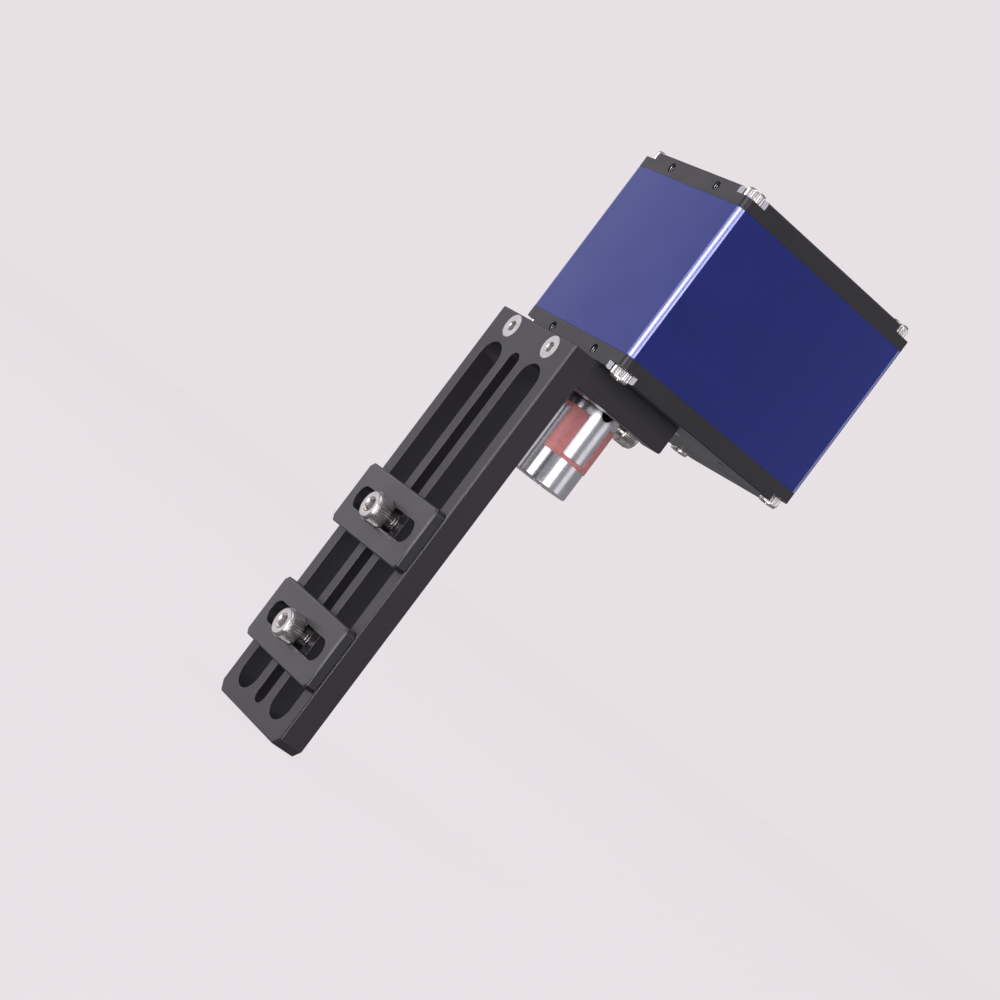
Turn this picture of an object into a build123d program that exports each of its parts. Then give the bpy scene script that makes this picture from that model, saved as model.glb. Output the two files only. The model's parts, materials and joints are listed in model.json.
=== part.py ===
from build123d import *
import os
from math import acos, atan2, cos, degrees, hypot, pi, radians, sin, sqrt, tan

# Telescope focus motor on a slotted bracket, in millimetres.
# Z is the drive axis, up towards the motor. The origin is the mouth of the lower hub's bore,
# where the focuser shaft enters. +X is the rail's front, +Y the wide side of the box.

# ---- motor box ----
BOX_DEPTH = 54.1            # along X
BOX_WIDTH = 45.6            # along Y
TUBE_LENGTH = 37.9          # along Z
PLATE_THICKNESS = 4.4
WALL = 1.8
EDGE_RADIUS = 1.6
SHAFT_TO_FRONT = 16.0       # drive axis to the box's +X face
SHAFT_TO_SIDE = 25.6        # drive axis to the box's +Y face

# ---- box screws and the cut corners of the plates ----
CORNER_SCREW_INSET = 3.0
CORNER_SCREW_RADIUS = 1.25
CORNER_SCREW_GRIP = 6.0     # thread length inside the tube
CORNER_HEAD_RADIUS = 2.25
CORNER_HEAD_HEIGHT = 2.5
CORNER_CUT_LEG = 5.0
CORNER_CUT_DEPTH = 1.8
CORNER_BOSS_WALL = 1.95
HEAD_CLEARANCE = 0.2
THREAD_CLEARANCE = 0.05

# ---- tapped holes in the plates ----
SIDE_HOLE_RADIUS = 1.15
SIDE_HOLE_SPACING = 19.5
SIDE_HOLE_DEPTH = 4.5
FACE_HOLE_RADIUS = 1.1
FACE_HOLE_X = -22.7
FACE_HOLE_SPACING = 31.4

# ---- bracket ----
RAIL_WIDTH = 35.0
RAIL_THICKNESS = 6.0
RAIL_LENGTH = 102.2
RAIL_GAP = 0.7              # rail's back to the box's +X face
RAIL_CORNER_CUT = 2.0
WIDE_SLOT = 8.4
SLOT_PITCH = 9.4
SLOT_TOP_MARGIN = 7.5
SLOT_END_MARGIN = 3.6
FOOT_THICKNESS = 6.7
FOOT_LENGTH = 26.0
NOTCH_CLEARANCE = 1.0       # foot to the upper hub
SWING_CLEARANCE = 0.5       # foot to the head of the hub's cap screw
EDGE_BREAK = 0.3

# ---- bracket screws ----
RAIL_SCREW_RADIUS = 1.5
RAIL_SCREW_HEAD_RADIUS = 2.85
RAIL_SCREW_HEAD_HEIGHT = 1.65
RAIL_SCREW_LENGTH = 10.0
RAIL_SCREW_SPACING = 18.4
RAIL_SCREW_DROP = 3.05      # below the rail's top end
FOOT_SCREW_RADIUS = 1.5
FOOT_SCREW_HEAD_RADIUS = 2.85
FOOT_SCREW_HEAD_HEIGHT = 1.65
FOOT_SCREW_LENGTH = 9.0
FOOT_SCREW_REACH = ((9.5, 13.8), (-5.8, 15.0))

# ---- clamps ----
CLAMP_LENGTH = 15.2
CLAMP_THICKNESS = 2.5
CLAMP_GAP = 0.2             # clamp plate to the rail's front, so that it slides freely
CLAMP_CORNER_CUT = 1.0
CLAMP_SLOT_PLAY = 0.7       # clamp slot to its screw, on each side
CLAMP_SLOT_LENGTH = 28.8
CLAMP_RISE = {"upper": 50.9, "lower": 20.6}    # above the rail's lower end, as set here
CLAMP_SCREW_RADIUS = 2.0
NARROW_SLOT_PLAY = 0.1      # narrow rail slot to the clamp screws, on each side
CLAMP_SCREW_LENGTH = 16.0
CLAMP_HEAD_RADIUS = 3.5
CLAMP_HEAD_HEIGHT = 4.0
CLAMP_SOCKET_WIDTH = 3.0

# ---- jaw coupling ----
HUB_RADIUS = 7.0
HUB_LENGTH = 7.0
JAW_SECTION = 10.9          # between the two hub collars
JAW_ANGLE = 53.0            # degrees
JAW_END_GAP = 1.0
JAW_INNER_RADIUS = 3.4
SPIDER_PROUD = 0.2
SPIDER_BORE_RADIUS = 1.6
HUB_RECESS = 1.4            # upper hub's top end below the front plate's face
FOCUSER_BORE_RADIUS = 3.0
HUB_SCREW_RADIUS = 1.5
HUB_SCREW_RISE = 2.2        # above the upper hub's rim
HUB_CAP_HEAD_RADIUS = 2.75
HUB_CAP_HEAD_HEIGHT = 4.2
HUB_CAP_STANDOFF = 1.7      # head to the hub's face
HUB_CAP_ANGLE = 180         # around Z from +X, in degrees
UPPER_SET_ANGLE = 90
LOWER_SET_ANGLES = (180, 270)
HUB_SET_SCREW_LENGTH = 3.5
HUB_FIT = 0.02

# ---- output shaft ----
SHAFT_RADIUS = 2.5
SHAFT_FLAT = 0.5
SHAFT_REACH = 6.3           # into the upper hub
BUSH_WALL = 2.0
BUSH_FLANGE_WIDTH = 0.7
BUSH_FLANGE_HEIGHT = 0.4
RUNNING_FIT = 0.03

# ---- gear train: rotor pinion, first gear, second gear, output gear ----
MODULE = 0.4
PINION_TEETH = 10
LARGE_TEETH = 32
OUTPUT_TEETH = 24
PRESSURE_ANGLE = 20.0
BACKLASH = 0.1
PINION_ADDENDUM = 0.36
LARGE_ADDENDUM = 0.26
DEDENDUM = 0.44
GEAR_WIDTH = 2.0
GEAR_GAP = 0.3
AXLE_RADIUS = 0.6

# ---- stepper motor ----
MOTOR_RADIUS = 17.5
MOTOR_WALL = 0.8
MOTOR_OFFSET = 11.05        # rotor axis to drive axis
COVER_FACE = 1.0
GEARBOX_PLATE = 1.0
COVER_CLEARANCE = 0.5
CAN_LENGTH = 14.4
ROTOR_RADIUS = 8.7
ROTOR_SHAFT_RADIUS = 1.0
POLE_GAP = 0.3
POLE_THICKNESS = 0.8
POLE_COUNT = 12
COIL_THICKNESS = 4.4
MOTOR_SCREW_X = -15.0
MOTOR_SCREW_Y = 6.5
MOTOR_SCREW_RADIUS = 1.25
MOTOR_SCREW_HEAD_RADIUS = 2.35
MOTOR_SCREW_HEAD_HEIGHT = 1.4
MOTOR_BOSS_WALL = 1.15
MOTOR_BOSS_HEIGHT = 2.4
TERMINAL_WIDTH = 14.0
TERMINAL_DEPTH = 3.6
TERMINAL_HEIGHT = 6.0
RIBBON_WIDTH = 9.0
RIBBON_THICKNESS = 0.9

# ---- circuit board and rear sockets ----
BOARD_MARGIN = (4.25, 4.0)  # board to the tube's inner walls, along X and Y
BOARD_THICKNESS = 1.6
BOARD_TO_PLATE = 9.6
STANDOFF_RADIUS = 2.2
STANDOFF_INSET = 3.0
BOARD_SCREW_RADIUS = 1.0
BOARD_SCREW_HEAD_RADIUS = 1.9
BOARD_SCREW_HEAD_HEIGHT = 1.4
MOTOR_SOCKET_HEIGHT = 2.2
CHIP_SIDE = 5.0
CHIP_HEIGHT = 1.0
DRIVER_CHIP_Y = -8.0        # from the middle of the box
CONTROL_CHIP_Y = 2.0
DATA_SOCKET = (12.0, 11.0)
DATA_MOUTH = (8.8, 8.0)
DATA_TONGUE = (5.4, 3.0)
DATA_OFFSET = (-9.0, 7.0)   # from the middle of the box
HANDSET_SOCKET = (13.0, 11.4)
HANDSET_MOUTH = (9.8, 7.0)
HANDSET_OFFSET = (9.0, 8.0)
POWER_SOCKET_RADIUS = 4.6
POWER_MOUTH_RADIUS = 2.9
POWER_PIN_RADIUS = 1.0
POWER_OFFSET = (-10.0, -8.0)
LIGHT_RADIUS = 1.5
LIGHT_OFFSET = (9.0, -8.0)
SOCKET_FLOOR = 4.2          # closed height of a socket above the board
CONTACT_DROP = 1.5          # tongue or pin below the rear face
SOCKET_CLEARANCE = 0.3

# ---- levels along Z, from the lower hub up ----
LOWER_RIM_Z = HUB_LENGTH
UPPER_RIM_Z = LOWER_RIM_Z + JAW_SECTION
UPPER_HUB_TOP_Z = UPPER_RIM_Z + HUB_LENGTH
FRONT_FACE_Z = UPPER_HUB_TOP_Z + HUB_RECESS
FOOT_BOTTOM_Z = FRONT_FACE_Z - FOOT_THICKNESS
TUBE_BOTTOM_Z = FRONT_FACE_Z + PLATE_THICKNESS
TUBE_TOP_Z = TUBE_BOTTOM_Z + TUBE_LENGTH
REAR_FACE_Z = TUBE_TOP_Z + PLATE_THICKNESS
SHAFT_TIP_Z = UPPER_HUB_TOP_Z - SHAFT_REACH
HUB_SCREW_Z = UPPER_RIM_Z + HUB_SCREW_RISE
SWING_RADIUS = HUB_RADIUS + HUB_CAP_STANDOFF + HUB_CAP_HEAD_HEIGHT + SWING_CLEARANCE
SWING_TOP_Z = HUB_SCREW_Z + HUB_CAP_HEAD_RADIUS + SWING_CLEARANCE
NOTCH_RADIUS = HUB_RADIUS + NOTCH_CLEARANCE
RAIL_BOTTOM_Z = FRONT_FACE_Z - RAIL_LENGTH
CLAMP_Z = {name: RAIL_BOTTOM_Z + rise for name, rise in CLAMP_RISE.items()}
COVER_INNER_Z = TUBE_BOTTOM_Z + COVER_FACE
OUTPUT_LEVEL_Z = COVER_INNER_Z + COVER_CLEARANCE
SECOND_LEVEL_Z = OUTPUT_LEVEL_Z + GEAR_WIDTH + GEAR_GAP
FIRST_LEVEL_Z = SECOND_LEVEL_Z + GEAR_WIDTH + GEAR_GAP
GEARBOX_PLATE_Z = FIRST_LEVEL_Z + GEAR_WIDTH + GEAR_GAP
CAN_BOTTOM_Z = GEARBOX_PLATE_Z + GEARBOX_PLATE
CAN_TOP_Z = CAN_BOTTOM_Z + CAN_LENGTH
BOARD_TOP_Z = TUBE_TOP_Z - BOARD_TO_PLATE
BOARD_BOTTOM_Z = BOARD_TOP_Z - BOARD_THICKNESS
SOCKET_FLOOR_Z = BOARD_TOP_Z + SOCKET_FLOOR
CONTACT_TOP_Z = REAR_FACE_Z - CONTACT_DROP

# ---- sizes that follow from what fits in them ----
CORNER_BOSS_RADIUS = CORNER_SCREW_RADIUS + CORNER_BOSS_WALL
NARROW_SLOT = 2 * (CLAMP_SCREW_RADIUS + NARROW_SLOT_PLAY)
CLAMP_SLOT_WIDTH = 2 * (CLAMP_SCREW_RADIUS + CLAMP_SLOT_PLAY)
BUSH_RADIUS = SHAFT_RADIUS + BUSH_WALL
BOARD_SIZE = (BOX_DEPTH - 2 * (WALL + BOARD_MARGIN[0]), BOX_WIDTH - 2 * (WALL + BOARD_MARGIN[1]))
BUSH_FLANGE_RADIUS = BUSH_RADIUS + BUSH_FLANGE_WIDTH
MOTOR_BOSS_RADIUS = MOTOR_SCREW_RADIUS + MOTOR_BOSS_WALL

# ---- places across the box and rail ----
BOX_X = SHAFT_TO_FRONT - BOX_DEPTH / 2
BOX_Y = SHAFT_TO_SIDE - BOX_WIDTH / 2
RAIL_BACK_X = SHAFT_TO_FRONT + RAIL_GAP
RAIL_FRONT_X = RAIL_BACK_X + RAIL_THICKNESS
CLAMP_BACK_X = RAIL_FRONT_X + CLAMP_GAP
CLAMP_TOP_X = CLAMP_BACK_X + CLAMP_THICKNESS
MOTOR_X = -MOTOR_OFFSET
DATA_PLACE = (BOX_X + DATA_OFFSET[0], BOX_Y + DATA_OFFSET[1])
HANDSET_PLACE = (BOX_X + HANDSET_OFFSET[0], BOX_Y + HANDSET_OFFSET[1])
POWER_PLACE = (BOX_X + POWER_OFFSET[0], BOX_Y + POWER_OFFSET[1])
LIGHT_PLACE = (BOX_X + LIGHT_OFFSET[0], BOX_Y + LIGHT_OFFSET[1])

# ---- inside the motor ----
STATOR_LENGTH = (CAN_LENGTH - GEARBOX_PLATE) / 2
STATOR_RADIUS = MOTOR_RADIUS - MOTOR_WALL
POLE_INNER_RADIUS = ROTOR_RADIUS + POLE_GAP


def tooth_half_angle(radius, teeth):
    """Half the angle of an involute tooth at a radius; radial below the base circle."""
    pitch = MODULE * teeth / 2
    base = pitch * cos(radians(PRESSURE_ANGLE))
    at_pitch = (pi * MODULE / 2 - BACKLASH) / (2 * pitch)
    pitch_involute = tan(radians(PRESSURE_ANGLE)) - radians(PRESSURE_ANGLE)
    slope = acos(min(1.0, base / max(radius, base)))
    return at_pitch + pitch_involute - (tan(slope) - slope)


def gear_outline(teeth, addendum, tooth_towards):
    """Closed outline of a spur gear with one tooth centred on an angle in radians."""
    pitch = MODULE * teeth / 2
    base = pitch * cos(radians(PRESSURE_ANGLE))
    root = pitch - DEDENDUM
    levels = sorted({root, max(root, base), pitch, pitch + addendum})
    points = []
    for tooth in range(teeth):
        middle = tooth_towards + 2 * pi * tooth / teeth
        for side, radii in ((-1, levels), (1, reversed(levels))):
            for radius in radii:
                angle = middle + side * tooth_half_angle(radius, teeth)
                points.append((radius * cos(angle), radius * sin(angle)))
    return make_face(Polyline(*points, close=True))


def spur_gear(teeth, addendum, tooth_towards, width):
    return extrude(gear_outline(teeth, addendum, tooth_towards), width)


def upright(x, y, z):
    return Location((x, y, z))


def along_x(x, y, z):
    """Local Z points along +X."""
    return Location((x, y, z), (0, 90, 0))


def disc(radius, height, place=Location()):
    return place * Cylinder(radius, height, align=(Align.CENTER, Align.CENTER, Align.MIN))


def ring(outer, inner, height, place):
    return disc(outer, height, place) - disc(inner, height, place)


def slab(low, high):
    """A box between two opposite corners."""
    size = [high[i] - low[i] for i in range(3)]
    return Location(low) * Box(*size, align=(Align.MIN, Align.MIN, Align.MIN))


def hex_socket(width, depth, place):
    return place * extrude(RegularPolygon(width / sqrt(3), 6), -depth)


def cap_screw(radius, length, head_radius, head_height, socket, place):
    """Socket cap screw: head above the local XY plane, shank below it."""
    body = disc(head_radius, head_height)
    body = fillet(body.edges().group_by(Axis.Z)[-1], 0.08 * head_radius)
    body += Cylinder(radius, length, align=(Align.CENTER, Align.CENTER, Align.MAX))
    body -= hex_socket(socket, head_height / 2, Pos(0, 0, head_height))
    return place * body


def flat_screw(radius, length, head_radius, head_height, socket, place):
    """Countersunk screw: flush with the local XY plane, all of it below."""
    body = Pos(0, 0, -head_height) * Cone(radius, head_radius, head_height,
                                          align=(Align.CENTER, Align.CENTER, Align.MIN))
    body += Cylinder(radius, length, align=(Align.CENTER, Align.CENTER, Align.MAX))
    body -= hex_socket(socket, head_height * 0.8, Location())
    return place * body


def flat_hole(radius, depth, head_radius, head_height, place):
    """Cutter for a countersunk screw."""
    body = Pos(0, 0, -head_height) * Cone(radius, head_radius, head_height,
                                          align=(Align.CENTER, Align.CENTER, Align.MIN))
    body += Cylinder(radius, depth, align=(Align.CENTER, Align.CENTER, Align.MAX))
    return place * body


def sector(inner, outer, middle, width, bottom, top):
    """Part of a ring, width degrees wide about an angle in degrees."""
    reach = 2 * outer
    ends = [(reach * cos(radians(middle + s * width / 2)), reach * sin(radians(middle + s * width / 2)))
            for s in (-1, 1)]
    wedge = extrude(make_face(Polyline((0, 0), *ends, close=True)), top - bottom)
    return (Pos(0, 0, bottom) * wedge) & ring(outer, inner, top - bottom, upright(0, 0, bottom))


def box_corners():
    """Screw places in the box's corners, with the signs that point outwards."""
    for sx in (1, -1):
        for sy in (1, -1):
            x = BOX_X + sx * (BOX_DEPTH / 2 - CORNER_SCREW_INSET)
            y = BOX_Y + sy * (BOX_WIDTH / 2 - CORNER_SCREW_INSET)
            yield x, y, sx, sy


def box_outline(height, bottom):
    block = Pos(BOX_X, BOX_Y, bottom) * Box(BOX_DEPTH, BOX_WIDTH, height,
                                            align=(Align.CENTER, Align.CENTER, Align.MIN))
    return fillet(block.edges().filter_by(Axis.Z), EDGE_RADIUS)


def tube_body():
    tube = box_outline(TUBE_LENGTH, TUBE_BOTTOM_Z)
    cavity = Pos(BOX_X, BOX_Y, TUBE_BOTTOM_Z) * Box(BOX_DEPTH - 2 * WALL, BOX_WIDTH - 2 * WALL, TUBE_LENGTH,
                                                    align=(Align.CENTER, Align.CENTER, Align.MIN))
    for x, y, sx, sy in box_corners():
        cavity -= disc(CORNER_BOSS_RADIUS, TUBE_LENGTH, upright(x, y, TUBE_BOTTOM_Z))
    tube -= cavity
    for x, y, sx, sy in box_corners():
        tube -= disc(CORNER_SCREW_RADIUS + THREAD_CLEARANCE, TUBE_LENGTH, upright(x, y, TUBE_BOTTOM_Z))
    return tube


def end_plate(outer_z, inwards):
    """Plate with cut corners and two tapped holes; inwards is +1 or -1 along Z from its outer face."""
    bottom = min(outer_z, outer_z + inwards * PLATE_THICKNESS)
    plate = box_outline(PLATE_THICKNESS, bottom)
    outer_edges = plate.edges().filter_by_position(Axis.Z, outer_z - 0.01, outer_z + 0.01)
    plate = chamfer(outer_edges, EDGE_BREAK)
    cut_bottom = min(outer_z, outer_z + inwards * CORNER_CUT_DEPTH)
    for x, y, sx, sy in box_corners():
        corner_x = x + sx * CORNER_SCREW_INSET
        corner_y = y + sy * CORNER_SCREW_INSET
        wedge = make_face(Polyline((corner_x, corner_y), (corner_x - sx * CORNER_CUT_LEG, corner_y),
                                   (corner_x, corner_y - sy * CORNER_CUT_LEG), close=True))
        plate -= Pos(0, 0, cut_bottom) * extrude(wedge, CORNER_CUT_DEPTH, dir=(0, 0, 1))
        plate -= disc(CORNER_HEAD_RADIUS + HEAD_CLEARANCE, CORNER_CUT_DEPTH, upright(x, y, cut_bottom))
        plate -= disc(CORNER_SCREW_RADIUS + THREAD_CLEARANCE, PLATE_THICKNESS, upright(x, y, bottom))
    for side in (-1, 1):
        y = BOX_Y + side * SIDE_HOLE_SPACING / 2
        plate -= disc(SIDE_HOLE_RADIUS, SIDE_HOLE_DEPTH,
                      along_x(SHAFT_TO_FRONT - SIDE_HOLE_DEPTH, y, bottom + PLATE_THICKNESS / 2))
    return plate


def foot_screw_places():
    return [(x, side * y) for x, y in FOOT_SCREW_REACH for side in (-1, 1)]


def motor_screw_places():
    return [(MOTOR_SCREW_X, side * MOTOR_SCREW_Y) for side in (-1, 1)]


def front_plate():
    plate = end_plate(FRONT_FACE_Z, 1)
    plate -= disc(BUSH_RADIUS + SOCKET_CLEARANCE, PLATE_THICKNESS, upright(0, 0, FRONT_FACE_Z))
    for x, y in foot_screw_places():
        plate -= flat_hole(FOOT_SCREW_RADIUS + THREAD_CLEARANCE, PLATE_THICKNESS, FOOT_SCREW_HEAD_RADIUS,
                           FOOT_SCREW_HEAD_HEIGHT, upright(x, y, TUBE_BOTTOM_Z))
    for x, y in motor_screw_places():
        plate -= flat_hole(MOTOR_SCREW_RADIUS + THREAD_CLEARANCE, PLATE_THICKNESS, MOTOR_SCREW_HEAD_RADIUS,
                           MOTOR_SCREW_HEAD_HEIGHT, Location((x, y, FRONT_FACE_Z), (180, 0, 0)))
    for side in (-1, 1):
        plate -= disc(FACE_HOLE_RADIUS, PLATE_THICKNESS,
                      upright(FACE_HOLE_X, BOX_Y + side * FACE_HOLE_SPACING / 2, FRONT_FACE_Z))
    return plate


def corner_screws(outer_z, inwards):
    """Four cap screws whose heads sit in a plate's cut corners, heads outwards."""
    seat_z = outer_z + inwards * CORNER_CUT_DEPTH
    length = PLATE_THICKNESS - CORNER_CUT_DEPTH + CORNER_SCREW_GRIP
    turn = (180, 0, 0) if inwards > 0 else (0, 0, 0)
    return [cap_screw(CORNER_SCREW_RADIUS, length, CORNER_HEAD_RADIUS, CORNER_HEAD_HEIGHT,
                      CORNER_HEAD_RADIUS, Location((x, y, seat_z), turn))
            for x, y, sx, sy in box_corners()]


def foot_block():
    end_x = RAIL_BACK_X - FOOT_LENGTH
    half = RAIL_WIDTH / 2
    block = slab((end_x, -half, FOOT_BOTTOM_Z), (RAIL_BACK_X, half, FRONT_FACE_Z))
    block = chamfer(block.edges().group_by(Axis.Z)[0], EDGE_BREAK)
    block -= disc(NOTCH_RADIUS, FOOT_THICKNESS, upright(0, 0, FOOT_BOTTOM_Z))
    block -= slab((end_x, -NOTCH_RADIUS, FOOT_BOTTOM_Z), (0, NOTCH_RADIUS, FRONT_FACE_Z))
    block -= disc(SWING_RADIUS, SWING_TOP_Z - FOOT_BOTTOM_Z, upright(0, 0, FOOT_BOTTOM_Z))
    hole_radius = FOOT_SCREW_RADIUS + THREAD_CLEARANCE
    hole_depth = FOOT_SCREW_LENGTH - PLATE_THICKNESS + THREAD_CLEARANCE
    for x, y in foot_screw_places():
        block -= disc(hole_radius, hole_depth, upright(x, y, FRONT_FACE_Z - hole_depth))
    pocket_radius = CORNER_HEAD_RADIUS + HEAD_CLEARANCE
    pocket_depth = CORNER_HEAD_HEIGHT - CORNER_CUT_DEPTH + HEAD_CLEARANCE
    for x, y, sx, sy in box_corners():
        block -= disc(pocket_radius, pocket_depth, upright(x, y, FRONT_FACE_Z - pocket_depth))
    screw_depth = RAIL_SCREW_LENGTH - RAIL_THICKNESS + THREAD_CLEARANCE
    for y, z in rail_screw_places():
        block -= disc(RAIL_SCREW_RADIUS + THREAD_CLEARANCE, screw_depth,
                      along_x(RAIL_BACK_X - screw_depth, y, z))
    return block


def foot_screws():
    """Countersunk screws from inside the box, through the front plate into the foot."""
    return [flat_screw(FOOT_SCREW_RADIUS, FOOT_SCREW_LENGTH, FOOT_SCREW_HEAD_RADIUS, FOOT_SCREW_HEAD_HEIGHT,
                       FOOT_SCREW_RADIUS, upright(x, y, TUBE_BOTTOM_Z))
            for x, y in foot_screw_places()]


def rail_screw_places():
    return [(side * RAIL_SCREW_SPACING / 2, FRONT_FACE_Z - RAIL_SCREW_DROP) for side in (-1, 1)]


def slot_cutter(width, y):
    """Round-ended slot through the rail."""
    top = FRONT_FACE_Z - SLOT_TOP_MARGIN - width / 2
    bottom = RAIL_BOTTOM_Z + SLOT_END_MARGIN + width / 2
    cutter = slab((RAIL_BACK_X, y - width / 2, bottom), (RAIL_FRONT_X, y + width / 2, top))
    for z in (top, bottom):
        cutter += disc(width / 2, RAIL_THICKNESS, along_x(RAIL_BACK_X, y, z))
    return cutter


def slotted_rail():
    half = RAIL_WIDTH / 2
    rail = slab((RAIL_BACK_X, -half, RAIL_BOTTOM_Z), (RAIL_FRONT_X, half, FRONT_FACE_Z))
    lower_corners = rail.edges().filter_by(Axis.X).group_by(Axis.Z)[0]
    rail = chamfer(lower_corners, RAIL_CORNER_CUT)
    rail = chamfer(rail.faces().sort_by(Axis.X)[-1].edges(), EDGE_BREAK)
    for width, y in ((NARROW_SLOT, 0), (WIDE_SLOT, SLOT_PITCH), (WIDE_SLOT, -SLOT_PITCH)):
        rail -= slot_cutter(width, y)
    for y, z in rail_screw_places():
        rail -= flat_hole(RAIL_SCREW_RADIUS + THREAD_CLEARANCE, RAIL_THICKNESS, RAIL_SCREW_HEAD_RADIUS,
                          RAIL_SCREW_HEAD_HEIGHT, along_x(RAIL_FRONT_X, y, z))
    return rail


def rail_screws():
    return [flat_screw(RAIL_SCREW_RADIUS, RAIL_SCREW_LENGTH, RAIL_SCREW_HEAD_RADIUS, RAIL_SCREW_HEAD_HEIGHT,
                       RAIL_SCREW_RADIUS, along_x(RAIL_FRONT_X, y, z))
            for y, z in rail_screw_places()]


def clamp_plate(z):
    half = RAIL_WIDTH / 2
    plate = slab((CLAMP_BACK_X, -half, z - CLAMP_LENGTH / 2), (CLAMP_TOP_X, half, z + CLAMP_LENGTH / 2))
    plate = chamfer(plate.edges().filter_by(Axis.X), CLAMP_CORNER_CUT)
    plate = chamfer(plate.faces().sort_by(Axis.X)[-1].edges(), EDGE_BREAK)
    straight = (CLAMP_SLOT_LENGTH - CLAMP_SLOT_WIDTH) / 2
    plate -= slab((CLAMP_BACK_X, -straight, z - CLAMP_SLOT_WIDTH / 2),
                  (CLAMP_TOP_X, straight, z + CLAMP_SLOT_WIDTH / 2))
    for side in (-1, 1):
        plate -= disc(CLAMP_SLOT_WIDTH / 2, CLAMP_THICKNESS, along_x(CLAMP_BACK_X, side * straight, z))
    return plate


def clamp_screw(z):
    return cap_screw(CLAMP_SCREW_RADIUS, CLAMP_SCREW_LENGTH, CLAMP_HEAD_RADIUS, CLAMP_HEAD_HEIGHT,
                     CLAMP_SOCKET_WIDTH, along_x(CLAMP_TOP_X, 0, z))


def upper_hub():
    hub = disc(HUB_RADIUS, HUB_LENGTH, upright(0, 0, UPPER_RIM_Z))
    hub = chamfer(hub.edges().group_by(Axis.Z)[-1], EDGE_BREAK)
    for middle in (90, 270):
        hub += sector(JAW_INNER_RADIUS, HUB_RADIUS, middle, JAW_ANGLE, LOWER_RIM_Z + JAW_END_GAP, UPPER_RIM_Z)
    hub -= disc(SHAFT_RADIUS + HUB_FIT, HUB_LENGTH, upright(0, 0, UPPER_RIM_Z))
    for angle in (UPPER_SET_ANGLE, HUB_CAP_ANGLE):
        hub -= Rot(0, 0, angle) * disc(HUB_SCREW_RADIUS + THREAD_CLEARANCE, HUB_RADIUS,
                                       along_x(0, 0, HUB_SCREW_Z))
    return hub


def lower_hub():
    hub = disc(HUB_RADIUS, HUB_LENGTH, upright(0, 0, 0))
    hub = chamfer(hub.edges().group_by(Axis.Z)[0], EDGE_BREAK)
    for middle in (0, 180):
        hub += sector(JAW_INNER_RADIUS, HUB_RADIUS, middle, JAW_ANGLE, LOWER_RIM_Z, UPPER_RIM_Z - JAW_END_GAP)
    hub -= disc(FOCUSER_BORE_RADIUS, HUB_LENGTH, upright(0, 0, 0))
    for angle in LOWER_SET_ANGLES:
        hub -= Rot(0, 0, angle) * disc(HUB_SCREW_RADIUS + THREAD_CLEARANCE, HUB_RADIUS,
                                       along_x(0, 0, HUB_LENGTH / 2))
    return hub


def spider():
    lobe_angle = 90 - JAW_ANGLE
    outer = HUB_RADIUS + SPIDER_PROUD
    body = ring(JAW_INNER_RADIUS, SPIDER_BORE_RADIUS, JAW_SECTION, upright(0, 0, LOWER_RIM_Z))
    for middle in (45, 135, 225, 315):
        body += sector(SPIDER_BORE_RADIUS, outer, middle, lobe_angle, LOWER_RIM_Z, UPPER_RIM_Z)
    for middle in (90, 270):
        body += sector(SPIDER_BORE_RADIUS, HUB_RADIUS, middle, 90, LOWER_RIM_Z, LOWER_RIM_Z + JAW_END_GAP)
    for middle in (0, 180):
        body += sector(SPIDER_BORE_RADIUS, HUB_RADIUS, middle, 90, UPPER_RIM_Z - JAW_END_GAP, UPPER_RIM_Z)
    return body


def hub_cap_screw():
    """Radial screw whose tip is on the shaft's flat and whose head stands off the hub."""
    seat = HUB_RADIUS + HUB_CAP_STANDOFF
    tip = SHAFT_RADIUS - SHAFT_FLAT
    screw = cap_screw(HUB_SCREW_RADIUS, seat - tip, HUB_CAP_HEAD_RADIUS, HUB_CAP_HEAD_HEIGHT,
                      HUB_CAP_HEAD_RADIUS, along_x(seat, 0, HUB_SCREW_Z))
    return Rot(0, 0, HUB_CAP_ANGLE) * screw


def set_screw(angle, tip, z):
    """Headless radial screw with its tip at a radius from the drive axis."""
    body = disc(HUB_SCREW_RADIUS, HUB_SET_SCREW_LENGTH, along_x(tip, 0, z))
    body -= hex_socket(HUB_SCREW_RADIUS, HUB_SET_SCREW_LENGTH / 3, along_x(tip + HUB_SET_SCREW_LENGTH, 0, z))
    return Rot(0, 0, angle) * body


def lower_set_screws():
    return [set_screw(angle, FOCUSER_BORE_RADIUS, HUB_LENGTH / 2) for angle in LOWER_SET_ANGLES]


def output_shaft():
    shaft = disc(SHAFT_RADIUS, OUTPUT_LEVEL_Z + GEAR_WIDTH - SHAFT_TIP_Z, upright(0, 0, SHAFT_TIP_Z))
    flat_x = -(SHAFT_RADIUS - SHAFT_FLAT)
    shaft -= slab((-SHAFT_RADIUS, -SHAFT_RADIUS, SHAFT_TIP_Z), (flat_x, SHAFT_RADIUS, UPPER_HUB_TOP_Z))
    return shaft


def output_bush():
    flange_z = COVER_INNER_Z
    bush = disc(BUSH_RADIUS, flange_z - FRONT_FACE_Z, upright(0, 0, FRONT_FACE_Z))
    bush += disc(BUSH_FLANGE_RADIUS, BUSH_FLANGE_HEIGHT, upright(0, 0, flange_z))
    return bush - disc(SHAFT_RADIUS + RUNNING_FIT, flange_z + BUSH_FLANGE_HEIGHT - FRONT_FACE_Z,
                       upright(0, 0, FRONT_FACE_Z))


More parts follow.
